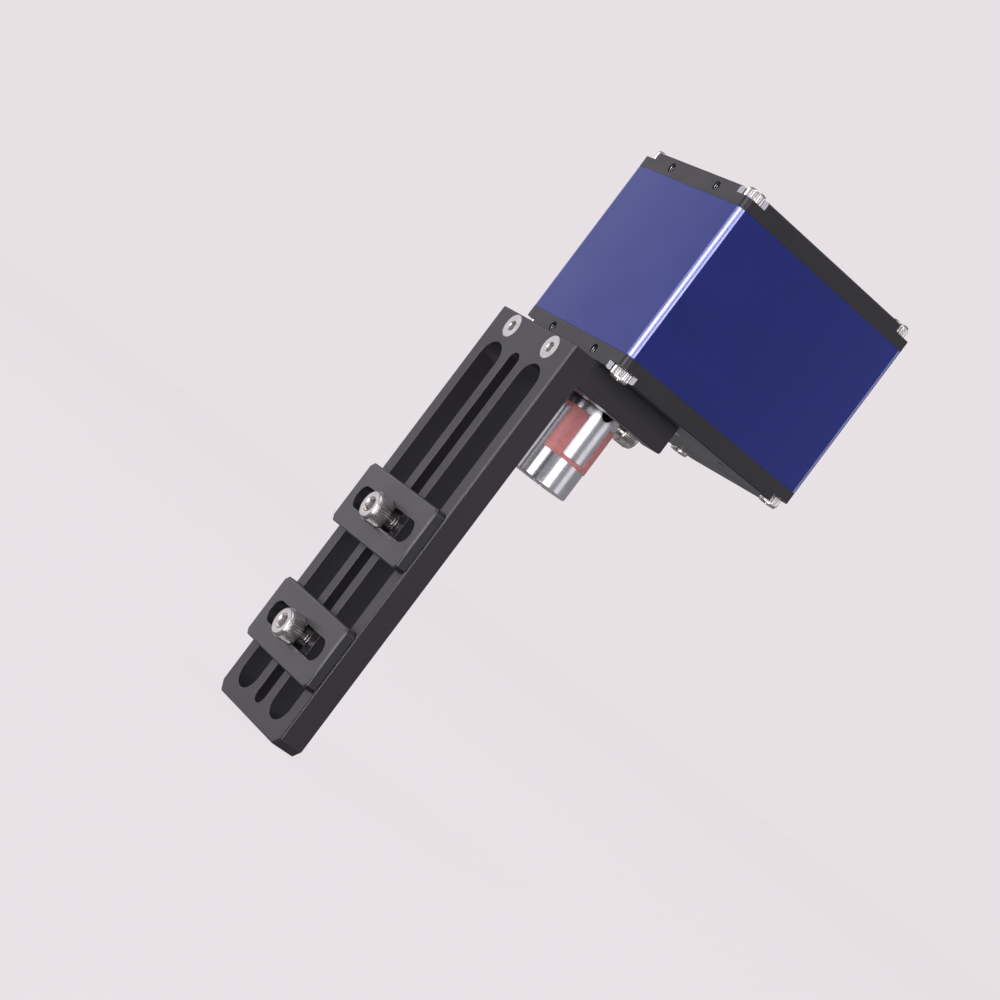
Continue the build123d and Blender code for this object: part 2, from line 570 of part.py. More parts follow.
def gear_axles():
    """Centres of the first and second gear, placed so that every pair meshes at its pitch distance."""
    large_step = MODULE * (PINION_TEETH + LARGE_TEETH) / 2
    last_step = MODULE * (PINION_TEETH + OUTPUT_TEETH) / 2
    first = (MOTOR_X, large_step)
    span = hypot(first[0], first[1])
    along = (large_step ** 2 - last_step ** 2 + span ** 2) / (2 * span)
    aside = sqrt(large_step ** 2 - along ** 2)
    ux, uy = -first[0] / span, -first[1] / span
    second = (first[0] + along * ux + aside * uy, first[1] + along * uy - aside * ux)
    return first, second


FIRST_AXLE, SECOND_AXLE = gear_axles()


def heading(start, end):
    return atan2(end[1] - start[1], end[0] - start[0])


def gap_towards(teeth, angle):
    """Tooth angle that leaves the middle of a gap on an angle."""
    return angle + pi / teeth


def compound_gear(centre, previous, following, big_z):
    """Large gear meshing with the one before it, and a pinion below it for the one after."""
    gap_angle = gap_towards(LARGE_TEETH, heading(centre, previous))
    large = spur_gear(LARGE_TEETH, LARGE_ADDENDUM, gap_angle, GEAR_WIDTH)
    pinion = spur_gear(PINION_TEETH, PINION_ADDENDUM, heading(centre, following), GEAR_WIDTH + GEAR_GAP)
    pinion_z = big_z - GEAR_WIDTH - GEAR_GAP
    body = Pos(0, 0, big_z) * large
    body += Pos(0, 0, pinion_z) * pinion
    body -= disc(AXLE_RADIUS + RUNNING_FIT, 2 * GEAR_WIDTH + GEAR_GAP, upright(0, 0, pinion_z))
    return Pos(centre[0], centre[1], 0) * body


def output_gear():
    gap_angle = gap_towards(OUTPUT_TEETH, heading((0, 0), SECOND_AXLE))
    gear = Pos(0, 0, OUTPUT_LEVEL_Z) * spur_gear(OUTPUT_TEETH, LARGE_ADDENDUM, gap_angle, GEAR_WIDTH)
    return gear - disc(SHAFT_RADIUS + HUB_FIT, GEAR_WIDTH, upright(0, 0, OUTPUT_LEVEL_Z))


def rotor_pinion():
    pinion = spur_gear(PINION_TEETH, PINION_ADDENDUM, heading((MOTOR_X, 0), FIRST_AXLE), GEAR_WIDTH)
    pinion -= disc(ROTOR_SHAFT_RADIUS + HUB_FIT, GEAR_WIDTH)
    return Pos(MOTOR_X, 0, FIRST_LEVEL_Z) * pinion


def axle(centre):
    return disc(AXLE_RADIUS, CAN_BOTTOM_Z - TUBE_BOTTOM_Z, upright(centre[0], centre[1], TUBE_BOTTOM_Z))


def gearbox_cover():
    height = GEARBOX_PLATE_Z - TUBE_BOTTOM_Z
    cover = disc(MOTOR_RADIUS, height, upright(MOTOR_X, 0, TUBE_BOTTOM_Z))
    cover -= disc(MOTOR_RADIUS - MOTOR_WALL, height - COVER_FACE, upright(MOTOR_X, 0, COVER_INNER_Z))
    for x, y in motor_screw_places():
        cover += disc(MOTOR_BOSS_RADIUS, MOTOR_BOSS_HEIGHT, upright(x, y, COVER_INNER_Z))
        cover -= disc(MOTOR_SCREW_RADIUS + THREAD_CLEARANCE, COVER_FACE + MOTOR_BOSS_HEIGHT,
                      upright(x, y, TUBE_BOTTOM_Z))
    cover -= disc(BUSH_RADIUS, COVER_FACE, upright(0, 0, TUBE_BOTTOM_Z))
    for centre in (FIRST_AXLE, SECOND_AXLE):
        cover -= disc(AXLE_RADIUS, COVER_FACE, upright(centre[0], centre[1], TUBE_BOTTOM_Z))
    return cover


def motor_screws():
    length = PLATE_THICKNESS + COVER_FACE + MOTOR_BOSS_HEIGHT - HEAD_CLEARANCE
    return [flat_screw(MOTOR_SCREW_RADIUS, length, MOTOR_SCREW_HEAD_RADIUS, MOTOR_SCREW_HEAD_HEIGHT,
                       MOTOR_SCREW_RADIUS, Location((x, y, FRONT_FACE_Z), (180, 0, 0)))
            for x, y in motor_screw_places()]


def gearbox_plate():
    plate = disc(MOTOR_RADIUS, GEARBOX_PLATE, upright(MOTOR_X, 0, GEARBOX_PLATE_Z))
    plate -= disc(2 * ROTOR_SHAFT_RADIUS, GEARBOX_PLATE, upright(MOTOR_X, 0, GEARBOX_PLATE_Z))
    for centre in (FIRST_AXLE, SECOND_AXLE):
        plate -= disc(AXLE_RADIUS, GEARBOX_PLATE, upright(centre[0], centre[1], GEARBOX_PLATE_Z))
    return plate


def rotor_bush(bottom_z):
    bore = ROTOR_SHAFT_RADIUS + RUNNING_FIT
    return ring(2 * ROTOR_SHAFT_RADIUS, bore, GEARBOX_PLATE, upright(MOTOR_X, 0, bottom_z))


def motor_can():
    can = disc(MOTOR_RADIUS, CAN_LENGTH, upright(MOTOR_X, 0, CAN_BOTTOM_Z))
    can -= disc(MOTOR_RADIUS - MOTOR_WALL, CAN_LENGTH - GEARBOX_PLATE, upright(MOTOR_X, 0, CAN_BOTTOM_Z))
    return can - disc(2 * ROTOR_SHAFT_RADIUS, GEARBOX_PLATE, upright(MOTOR_X, 0, CAN_TOP_Z - GEARBOX_PLATE))


def rotor_shaft():
    return disc(ROTOR_SHAFT_RADIUS, CAN_TOP_Z - FIRST_LEVEL_Z, upright(MOTOR_X, 0, FIRST_LEVEL_Z))


def pole_ring(stage, upward):
    """Steel ring with claws that stand between the claws of its twin."""
    base_z = CAN_BOTTOM_Z + stage * STATOR_LENGTH
    ring_z = base_z if upward else base_z + STATOR_LENGTH - POLE_THICKNESS
    body = ring(STATOR_RADIUS, POLE_INNER_RADIUS, POLE_THICKNESS, upright(0, 0, ring_z))
    first = 0 if upward else 180 / POLE_COUNT
    claw_bottom = base_z + (0 if upward else 1.5 * POLE_THICKNESS)
    claw_top = base_z + STATOR_LENGTH - (1.5 * POLE_THICKNESS if upward else 0)
    for claw in range(POLE_COUNT):
        body += sector(POLE_INNER_RADIUS, POLE_INNER_RADIUS + POLE_THICKNESS, first + claw * 360 / POLE_COUNT,
                       120 / POLE_COUNT, claw_bottom, claw_top)
    return Pos(MOTOR_X, 0, 0) * body


def coil(stage):
    bottom_z = CAN_BOTTOM_Z + (stage + 0.5) * STATOR_LENGTH - COIL_THICKNESS / 2
    inner = POLE_INNER_RADIUS + POLE_THICKNESS + POLE_GAP
    return ring(STATOR_RADIUS - POLE_GAP, inner, COIL_THICKNESS, upright(MOTOR_X, 0, bottom_z))


def rotor_magnet():
    bottom = CAN_BOTTOM_Z + 2 * POLE_GAP
    height = 2 * STATOR_LENGTH - 4 * POLE_GAP
    return ring(ROTOR_RADIUS, ROTOR_SHAFT_RADIUS + HUB_FIT, height, upright(MOTOR_X, 0, bottom))


def terminal_block():
    """Moulded block on the can's flank where the winding ends come out."""
    bottom = CAN_BOTTOM_Z + (CAN_LENGTH - TERMINAL_HEIGHT) / 2
    block = slab((MOTOR_X - TERMINAL_WIDTH / 2, 0, bottom),
                 (MOTOR_X + TERMINAL_WIDTH / 2, MOTOR_RADIUS + TERMINAL_DEPTH, bottom + TERMINAL_HEIGHT))
    return block - disc(MOTOR_RADIUS, CAN_LENGTH, upright(MOTOR_X, 0, CAN_BOTTOM_Z))


def motor_ribbon():
    bottom = CAN_BOTTOM_Z + (CAN_LENGTH + TERMINAL_HEIGHT) / 2
    top = BOARD_BOTTOM_Z - MOTOR_SOCKET_HEIGHT
    inner_y = MOTOR_RADIUS + (TERMINAL_DEPTH - RIBBON_THICKNESS) / 2
    return slab((MOTOR_X - RIBBON_WIDTH / 2, inner_y, bottom),
                (MOTOR_X + RIBBON_WIDTH / 2, inner_y + RIBBON_THICKNESS, top))


def motor_socket():
    edge_y = BOX_Y + BOARD_SIZE[1] / 2
    return slab((MOTOR_X - TERMINAL_WIDTH / 2, edge_y - TERMINAL_DEPTH, BOARD_BOTTOM_Z - MOTOR_SOCKET_HEIGHT),
                (MOTOR_X + TERMINAL_WIDTH / 2, edge_y, BOARD_BOTTOM_Z))


def standoff_places():
    for sx in (1, -1):
        for sy in (1, -1):
            yield (BOX_X + sx * (BOARD_SIZE[0] / 2 - STANDOFF_INSET),
                   BOX_Y + sy * (BOARD_SIZE[1] / 2 - STANDOFF_INSET))


def circuit_board():
    board = Pos(BOX_X, BOX_Y, BOARD_BOTTOM_Z) * Box(BOARD_SIZE[0], BOARD_SIZE[1], BOARD_THICKNESS,
                                                    align=(Align.CENTER, Align.CENTER, Align.MIN))
    for x, y in standoff_places():
        board -= disc(BOARD_SCREW_RADIUS + THREAD_CLEARANCE, BOARD_THICKNESS, upright(x, y, BOARD_BOTTOM_Z))
    return board


def board_standoffs():
    bore = BOARD_SCREW_RADIUS + THREAD_CLEARANCE
    return [ring(STANDOFF_RADIUS, bore, BOARD_TO_PLATE, upright(x, y, BOARD_TOP_Z))
            for x, y in standoff_places()]


def board_screws():
    length = BOARD_THICKNESS + BOARD_TO_PLATE / 2
    return [cap_screw(BOARD_SCREW_RADIUS, length, BOARD_SCREW_HEAD_RADIUS, BOARD_SCREW_HEAD_HEIGHT,
                      BOARD_SCREW_RADIUS, Location((x, y, BOARD_BOTTOM_Z), (180, 0, 0)))
            for x, y in standoff_places()]


def standing_block(size, place, bottom, top):
    """A block of a given plan size centred on a place."""
    low = (place[0] - size[0] / 2, place[1] - size[1] / 2, bottom)
    high = (place[0] + size[0] / 2, place[1] + size[1] / 2, top)
    return slab(low, high)


def square_socket(size, place, mouth, tongue):
    """Shell standing on the board, open at the rear face, with a contact tongue inside."""
    shell = standing_block(size, place, BOARD_TOP_Z, REAR_FACE_Z)
    shell -= standing_block(mouth, place, SOCKET_FLOOR_Z, REAR_FACE_Z)
    if tongue:
        shell += standing_block(tongue, place, SOCKET_FLOOR_Z, CONTACT_TOP_Z)
    return shell


def power_socket():
    body = disc(POWER_SOCKET_RADIUS, REAR_FACE_Z - BOARD_TOP_Z, upright(*POWER_PLACE, BOARD_TOP_Z))
    mouth_place = upright(*POWER_PLACE, SOCKET_FLOOR_Z)
    body -= disc(POWER_MOUTH_RADIUS, REAR_FACE_Z - SOCKET_FLOOR_Z, mouth_place)
    return body + disc(POWER_PIN_RADIUS, CONTACT_TOP_Z - SOCKET_FLOOR_Z, mouth_place)


def rear_plate():
    plate = end_plate(REAR_FACE_Z, -1)
    for size, place in ((DATA_SOCKET, DATA_PLACE), (HANDSET_SOCKET, HANDSET_PLACE)):
        window = [side + 2 * SOCKET_CLEARANCE for side in size]
        plate -= standing_block(window, place, TUBE_TOP_Z, REAR_FACE_Z)
    plate -= disc(POWER_SOCKET_RADIUS + SOCKET_CLEARANCE, PLATE_THICKNESS, upright(*POWER_PLACE, TUBE_TOP_Z))
    plate -= disc(LIGHT_RADIUS, PLATE_THICKNESS, upright(*LIGHT_PLACE, TUBE_TOP_Z))
    for x, y in standoff_places():
        plate -= disc(BOARD_SCREW_RADIUS, PLATE_THICKNESS / 2, upright(x, y, TUBE_TOP_Z))
    return plate


def chip(offset_y):
    place = (BOX_X, BOX_Y + offset_y)
    return standing_block((CHIP_SIDE, CHIP_SIDE), place, BOARD_TOP_Z, BOARD_TOP_Z + CHIP_HEIGHT)


NODES = {
    "tube_body": [tube_body()],
    "front_plate": [front_plate()],
    "rear_plate": [rear_plate()],
    "front_plate_screws": corner_screws(FRONT_FACE_Z, 1),
    "rear_plate_screws": corner_screws(REAR_FACE_Z, -1),
    "foot_block": [foot_block()],
    "foot_screws": foot_screws(),
    "slotted_rail": [slotted_rail()],
    "rail_screws": rail_screws(),
    "upper_clamp_plate": [clamp_plate(CLAMP_Z["upper"])],
    "lower_clamp_plate": [clamp_plate(CLAMP_Z["lower"])],
    "upper_clamp_screw": [clamp_screw(CLAMP_Z["upper"])],
    "lower_clamp_screw": [clamp_screw(CLAMP_Z["lower"])],
    "upper_hub": [upper_hub()],
    "spider": [spider()],
    "lower_hub": [lower_hub()],
    "upper_hub_cap_screw": [hub_cap_screw()],
    "upper_hub_set_screw": [set_screw(UPPER_SET_ANGLE, SHAFT_RADIUS, HUB_SCREW_Z)],
    "lower_hub_set_screws": lower_set_screws(),
    "output_shaft": [output_shaft()],
    "output_bush": [output_bush()],
    "output_gear": [output_gear()],
    "second_gear": [compound_gear(SECOND_AXLE, FIRST_AXLE, (0, 0), SECOND_LEVEL_Z)],
    "first_gear": [compound_gear(FIRST_AXLE, (MOTOR_X, 0), SECOND_AXLE, FIRST_LEVEL_Z)],
    "first_axle": [axle(FIRST_AXLE)],
    "second_axle": [axle(SECOND_AXLE)],
    "rotor_pinion": [rotor_pinion()],
    "rotor_shaft": [rotor_shaft()],
    "rotor_magnet": [rotor_magnet()],
    "rotor_front_bush": [rotor_bush(GEARBOX_PLATE_Z)],
    "rotor_rear_bush": [rotor_bush(CAN_TOP_Z - GEARBOX_PLATE)],
    "gearbox_cover": [gearbox_cover()],
    "gearbox_plate": [gearbox_plate()],
    "motor_can": [motor_can()],
    "lower_front_poles": [pole_ring(0, True)],
    "lower_rear_poles": [pole_ring(0, False)],
    "upper_front_poles": [pole_ring(1, True)],
    "upper_rear_poles": [pole_ring(1, False)],
    "lower_coil": [coil(0)],
    "upper_coil": [coil(1)],
    "motor_screws": motor_screws(),
    "terminal_block": [terminal_block()],
    "motor_ribbon": [motor_ribbon()],
    "motor_socket": [motor_socket()],
    "circuit_board": [circuit_board()],
    "board_standoffs": board_standoffs(),
    "board_screws": board_screws(),
    "driver_chip": [chip(DRIVER_CHIP_Y)],
    "control_chip": [chip(CONTROL_CHIP_Y)],
    "data_socket": [square_socket(DATA_SOCKET, DATA_PLACE, DATA_MOUTH, DATA_TONGUE)],
    "handset_socket": [square_socket(HANDSET_SOCKET, HANDSET_PLACE, HANDSET_MOUTH, None)],
    "power_socket": [power_socket()],
    "status_light": [disc(LIGHT_RADIUS, REAR_FACE_Z - BOARD_TOP_Z, upright(*LIGHT_PLACE, BOARD_TOP_Z))],
}

os.makedirs("parts", exist_ok=True)
for name, solids in NODES.items():
    shapes = [solid for shape in solids for solid in shape.solids()]
    export_step(shapes[0] if len(shapes) == 1 else Compound(shapes), f"parts/{name}.step")
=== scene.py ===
import json
from math import cos, pi, radians, sin
import bmesh
import bpy
from mathutils import Matrix, Vector

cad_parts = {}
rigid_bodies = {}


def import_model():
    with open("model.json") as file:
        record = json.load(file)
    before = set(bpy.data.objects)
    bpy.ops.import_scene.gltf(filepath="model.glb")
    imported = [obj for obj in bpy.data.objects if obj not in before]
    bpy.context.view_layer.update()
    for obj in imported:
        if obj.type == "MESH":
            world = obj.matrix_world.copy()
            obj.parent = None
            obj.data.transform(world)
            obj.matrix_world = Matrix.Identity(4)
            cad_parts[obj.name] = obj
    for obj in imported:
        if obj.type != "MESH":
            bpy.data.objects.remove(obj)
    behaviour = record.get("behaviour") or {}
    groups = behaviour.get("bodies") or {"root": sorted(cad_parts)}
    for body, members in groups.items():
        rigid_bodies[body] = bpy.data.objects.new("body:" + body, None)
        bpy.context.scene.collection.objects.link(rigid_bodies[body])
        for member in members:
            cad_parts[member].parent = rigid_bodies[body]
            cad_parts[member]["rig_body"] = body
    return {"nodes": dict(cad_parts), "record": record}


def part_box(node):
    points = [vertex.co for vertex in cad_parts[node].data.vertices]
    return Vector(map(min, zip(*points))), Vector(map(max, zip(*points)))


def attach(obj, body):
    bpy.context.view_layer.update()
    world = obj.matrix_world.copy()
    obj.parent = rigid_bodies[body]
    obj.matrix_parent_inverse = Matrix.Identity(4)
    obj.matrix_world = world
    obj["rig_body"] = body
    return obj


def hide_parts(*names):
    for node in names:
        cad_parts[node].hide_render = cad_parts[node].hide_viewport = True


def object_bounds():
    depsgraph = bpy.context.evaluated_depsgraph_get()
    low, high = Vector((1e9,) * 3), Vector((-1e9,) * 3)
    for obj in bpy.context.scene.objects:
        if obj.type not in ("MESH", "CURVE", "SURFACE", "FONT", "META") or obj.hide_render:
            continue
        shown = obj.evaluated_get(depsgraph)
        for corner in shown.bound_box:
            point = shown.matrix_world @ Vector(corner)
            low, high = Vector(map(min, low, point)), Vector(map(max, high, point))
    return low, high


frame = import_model()
cad_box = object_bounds()
MM = 0.001

# ---- Camera ----
# A short telephoto, rolled so that the drive axis runs up to the right, a little
# below the motor box and on the side where the rail and the wide face both show.
camera_data = bpy.data.cameras.new("camera")
camera_data.sensor_width = 36.0
camera_data.lens = 100.2
camera_data.clip_start = 0.01
camera_data.clip_end = 20.0
CAMERA_PLACE = (0.3062, 0.5082, -0.0209)
camera = bpy.data.objects.new("camera", camera_data)
camera_right = Vector((-0.6806, 0.4193, 0.6008)).normalized()
camera_back = Vector((0.5101, 0.8598, -0.0221)).normalized()
camera_up = camera_back.cross(camera_right).normalized()
camera_right = camera_up.cross(camera_back)
turned = Matrix((camera_right, camera_up, camera_back)).transposed().to_4x4()
camera.matrix_world = Matrix.Translation(CAMERA_PLACE) @ turned
bpy.context.scene.collection.objects.link(camera)
bpy.context.scene.camera = camera
bpy.context.scene.view_settings.view_transform = "Standard"

# ---- Floor ----
# A wide matt sheet of pale paper, just under the lowest point of the rail.
PAPER = (0.80, 0.755, 0.78)
PAPER_HALF = 3.0
PAPER_GAP = 0.2 * MM
PAPER_GLOW = 0.955
DARK_FIBRE = 0.06
PALE_FIBRE = 0.08
FIBRE_DENSITY = 900
paper_height = cad_box[0].z - PAPER_GAP
paper_mesh = bpy.data.meshes.new("paper_floor")
paper_mesh.from_pydata([(-PAPER_HALF, -PAPER_HALF, paper_height), (PAPER_HALF, -PAPER_HALF, paper_height),
                        (PAPER_HALF, PAPER_HALF, paper_height), (-PAPER_HALF, PAPER_HALF, paper_height)],
                       [], [(0, 1, 2, 3)])
paper = bpy.data.objects.new("paper_floor", paper_mesh)
bpy.context.scene.collection.objects.link(paper)
paper_finish = bpy.data.materials.new("pale_paper")
paper_finish.use_nodes = True
paper_nodes = paper_finish.node_tree.nodes
paper_shader = paper_nodes["Principled BSDF"]
paper_shader.inputs["Roughness"].default_value = 0.95
paper_shader.inputs["Specular IOR Level"].default_value = 0.1
paper_shader.inputs["Emission Color"].default_value = (*PAPER, 1)
paper_shader.inputs["Emission Strength"].default_value = PAPER_GLOW
fibres = paper_nodes.new("ShaderNodeTexNoise")
fibres.inputs["Scale"].default_value = FIBRE_DENSITY
tint = paper_nodes.new("ShaderNodeMixRGB")
tint.inputs["Color1"].default_value = tuple(DARK_FIBRE * c for c in PAPER) + (1,)
tint.inputs["Color2"].default_value = tuple(PALE_FIBRE * c for c in PAPER) + (1,)
place = paper_nodes.new("ShaderNodeTexCoord")
paper_finish.node_tree.links.new(place.outputs["Object"], fibres.inputs["Vector"])
paper_finish.node_tree.links.new(fibres.outputs["Fac"], tint.inputs["Fac"])
paper_finish.node_tree.links.new(tint.outputs["Color"], paper_shader.inputs["Base Color"])
paper_mesh.materials.append(paper_finish)
paper.visible_diffuse = False
paper.visible_glossy = False

# ---- Studio light ----
# Large soft boxes round the table and a pale room. The room behind the object is
# even, and dimmer where it only lights, so that polished metal gets its contrast.
ROOM_FILL = 0.30
LAMP_COLOUR = (0.96, 0.93, 1.0)
WARM_LAMP = (1.0, 0.97, 0.96)
world = bpy.data.worlds.new("pale_room")
bpy.context.scene.world = world
world.use_nodes = True
room = world.node_tree
seen = room.nodes["Background"]
seen.inputs["Color"].default_value = (*PAPER, 1)
seen.inputs["Strength"].default_value = 1.0
fill = room.nodes.new("ShaderNodeBackground")
fill.inputs["Color"].default_value = (0.80, 0.78, 0.82, 1)
fill.inputs["Strength"].default_value = ROOM_FILL
ray = room.nodes.new("ShaderNodeLightPath")
either = room.nodes.new("ShaderNodeMixShader")
room.links.new(ray.outputs["Is Camera Ray"], either.inputs[0])
room.links.new(fill.outputs["Background"], either.inputs[1])
room.links.new(seen.outputs["Background"], either.inputs[2])
room.links.new(either.outputs["Shader"], room.nodes["World Output"].inputs["Surface"])

object_middle = (cad_box[0] + cad_box[1]) / 2


def soft_box(name, direction, distance, width, height, power, colour=LAMP_COLOUR):
    """A rectangular lamp facing the object from a direction: metres, metres, metres and watts."""
    lamp = bpy.data.lights.new(name, "AREA")
    lamp.shape = "RECTANGLE"
    lamp.size = width
    lamp.size_y = height
    lamp.energy = power
    lamp.color = colour
    holder = bpy.data.objects.new(name, lamp)
    away = Vector(direction).normalized()
    holder.location = object_middle + away * distance
    holder.rotation_mode = "QUATERNION"
    holder.rotation_quaternion = away.to_track_quat("Z", "Y")
    bpy.context.scene.collection.objects.link(holder)


soft_box("rail_side_box", (0.51, -0.86, 0.10), 1.1, 1.0, 1.0, 2.5)
soft_box("edge_box", (0.92, 0.38, 0.05), 1.2, 0.9, 1.0, 10.0)
soft_box("top_box", (0.1, 0.2, 1.0), 1.2, 1.1, 1.1, 6.0)
soft_box("wide_side_box", (-0.75, 0.66, 0.1), 1.3, 0.5, 0.9, 0.9)
soft_box("hub_box", (0.03, 1.0, 0.05), 1.3, 0.5, 1.0, 4.5)
soft_box("front_box", (0.40, 0.80, -0.42), 1.3, 0.6, 0.6, 15.0, WARM_LAMP)

# ---- Tube body ----
# The motor box's middle: a length of extruded aluminium tube with rounded long
# edges, satin blue anodised, its cut ends lightly broken where the plates seat.


def start_finish(name):
    """A material with its shader and a pattern space fixed to the piece."""
    material = bpy.data.materials.new(name)
    material.use_nodes = True
    tree = material.node_tree
    space = tree.nodes.new("ShaderNodeTexCoord")
    return material, tree, tree.nodes["Principled BSDF"], space.outputs["Object"]


EVEN = (1, 1, 1)


def pattern(tree, space, size, stretch=EVEN, detail=3.0):
    """Noise whose features are about size metres across, stretched along an axis."""
    mapping = tree.nodes.new("ShaderNodeMapping")
    mapping.inputs["Scale"].default_value = tuple(1 / s for s in stretch)
    noise = tree.nodes.new("ShaderNodeTexNoise")
    noise.inputs["Scale"].default_value = 1 / size
    noise.inputs["Detail"].default_value = detail
    tree.links.new(space, mapping.inputs["Vector"])
    tree.links.new(mapping.outputs["Vector"], noise.inputs["Vector"])
    return noise.outputs["Fac"]


NOISE_LOW = 0.3
NOISE_HIGH = 0.7


def between(tree, factor, low, high):
    """A number that follows a pattern from low to high."""
    spread = tree.nodes.new("ShaderNodeMapRange")
    spread.inputs["From Min"].default_value = NOISE_LOW
    spread.inputs["From Max"].default_value = NOISE_HIGH
    spread.inputs["To Min"].default_value = low
    spread.inputs["To Max"].default_value = high
    tree.links.new(factor, spread.inputs["Value"])
    return spread.outputs["Result"]


def two_tone(tree, factor, dark, light):
    """A colour that follows a pattern from dark to light."""
    ramp = tree.nodes.new("ShaderNodeValToRGB")
    ramp.color_ramp.elements[0].position = NOISE_LOW
    ramp.color_ramp.elements[0].color = (*dark, 1)
    ramp.color_ramp.elements[1].position = NOISE_HIGH
    ramp.color_ramp.elements[1].color = (*light, 1)
    tree.links.new(factor, ramp.inputs["Fac"])
    return ramp.outputs["Color"]


def raise_surface(tree, shader, height, depth):
    """Relief of a given depth in metres under the shader's own normal."""
    bump = tree.nodes.new("ShaderNodeBump")
    bump.inputs["Distance"].default_value = depth
    bump.inputs["Strength"].default_value = 1.0
    tree.links.new(height, bump.inputs["Height"])
    tree.links.new(bump.outputs["Normal"], shader.inputs["Normal"])


def shade(colour, factor):
    """The colour made darker or lighter."""
    return tuple(min(1.0, c * factor) for c in colour)


def anodised(name, colour, grain, stretch, metal, rough, relief, coat=0.5):
    """Dyed oxide on aluminium: a fine grain, faint handling marks and a thin clear skin."""
    material, tree, shader, space = start_finish(name)
    fine = pattern(tree, space, grain, stretch)
    broad = pattern(tree, space, 14 * MM, detail=2.0)
    dye = two_tone(tree, fine, shade(colour, 0.82), shade(colour, 1.18))
    tree.links.new(dye, shader.inputs["Base Color"])
    tree.links.new(between(tree, broad, rough - 0.04, rough + 0.06), shader.inputs["Roughness"])
    raise_surface(tree, shader, fine, relief)
    shader.inputs["Metallic"].default_value = metal
    shader.inputs["Coat Weight"].default_value = coat
    shader.inputs["Coat Roughness"].default_value = 0.32
    shader.inputs["Coat IOR"].default_value = 1.55
    return material


WELD_REACH = 0.002 * MM
FLAT_BELOW = radians(0.4)
SMOOTH_BELOW = radians(32)


def machined_copy(node, edge, finish, edge_break_finish):
    """The CAD piece again, welded, with a small real bevel on its sharp edges."""
    cad = frame["nodes"][node]
    welded = bmesh.new()
    corners = [welded.verts.new(v.co) for v in cad.data.vertices]
    for polygon in cad.data.polygons:
        if len(set(polygon.vertices)) == len(polygon.vertices):
            welded.faces.new([corners[i] for i in polygon.vertices])
    bmesh.ops.remove_doubles(welded, verts=welded.verts, dist=WELD_REACH)
    bmesh.ops.dissolve_limit(welded, angle_limit=FLAT_BELOW, verts=welded.verts, edges=welded.edges)
    mesh = bpy.data.meshes.new(node + "_finished")
    welded.to_mesh(mesh)
    welded.free()
    mesh.materials.append(finish)
    mesh.materials.append(edge_break_finish)
    mesh.polygons.foreach_set("use_smooth", [True] * len(mesh.polygons))
    mesh.set_sharp_from_angle(angle=SMOOTH_BELOW)
    piece = bpy.data.objects.new(node + "_finished", mesh)
    bpy.context.scene.collection.objects.link(piece)
    broken = piece.modifiers.new("edge_break", "BEVEL")
    broken.width = edge
    broken.segments = 2
    broken.limit_method = "ANGLE"
    broken.angle_limit = SMOOTH_BELOW
    # The bevel faces take the second finish: on most pieces a paler colour, a painted highlight along the
    # edges; on the spider a darker one, painted shade.
    broken.material = 1
    broken.harden_normals = True
    piece = settle(piece)
    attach(piece, cad["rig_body"])
    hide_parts(node)
    return piece


def settle(piece):
    """The piece as a plain mesh, with its modifiers worked in."""
    shown = piece.evaluated_get(bpy.context.evaluated_depsgraph_get())
    plain = bpy.data.meshes.new_from_object(shown)
    piece.modifiers.clear()
    piece.data = plain
    return piece


BLUE_DYE = (0.016, 0.030, 0.250)
tube_low, tube_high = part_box("tube_body")
TUBE_ROUNDING = 1.7 * MM
TUBE_EDGE_BREAK = 0.12 * MM
BLUE_GRAIN = 0.10 * MM
DRAWN_ALONG_Z = (1, 1, 30)
THIRD_FINISH = 2


def corner_distances(point):
    """How far a point is inside the box's nearest X side and its nearest Y side."""
    from_x = min(point.x - tube_low.x, tube_high.x - point.x)
    from_y = min(point.y - tube_low.y, tube_high.y - point.y)
    return from_x, from_y


blue_skin = anodised("blue_anodised", BLUE_DYE, BLUE_GRAIN, DRAWN_ALONG_Z, 0.78, 0.36, 0.0025 * MM, coat=0.45)
# The tube's edge breaks are painted a lighter blue: a painted highlight.
blue_highlight_edge = anodised("blue_highlight_edge", shade(BLUE_DYE, 2.2), BLUE_GRAIN, DRAWN_ALONG_Z, 0.85, 0.28, 0.0025 * MM)
# The rounded long edges are painted a much paler blue: a painted highlight along them.
blue_highlight_round = anodised("blue_highlight_rounded_edge", (0.40, 0.42, 0.98), 0.16 * MM, (1, 1, 40), 0.9, 0.36, 0.003 * MM,
                      coat=0.8)
tube = machined_copy("tube_body", TUBE_EDGE_BREAK, blue_skin, blue_highlight_edge)
tube.data.materials.append(blue_highlight_round)
# Faces on the rounded long edges take the pale blue, the painted highlight.
for face in tube.data.polygons:
    turning = min(abs(face.normal.x), abs(face.normal.y)) > 0.10 and abs(face.normal.z) < 0.1
    outward = (face.center - object_middle).dot(face.normal) > 0
    if turning and outward and max(corner_distances(face.center)) <= TUBE_ROUNDING:
        face.material_index = THIRD_FINISH

# ---- End plates ----
# Two milled aluminium plates, black anodised. Their corners are cut at 45 degrees
# after anodising, so the cuts are bare metal round each screw's seat.
BLACK_DYE = (0.030, 0.028, 0.031)
PLATE_EDGE_BREAK = 0.14 * MM
CORNER_REACH = 7.0 * MM
CORNER_SIDE = 5.2 * MM
CORNER_CUT = 1.8 * MM
CUT_MARGIN = 0.1 * MM
plate_skin = anodised("black_plate_anodised", BLACK_DYE, 0.09 * MM, EVEN, 0.35, 0.42, 0.003 * MM, coat=0.25)
# The plates' edge breaks are painted paler than the black dye: a painted highlight.
plate_highlight_edge = anodised("black_plate_highlight_edge", (0.10, 0.095, 0.105), 0.1 * MM, EVEN, 0.6, 0.36, 0.002 * MM)


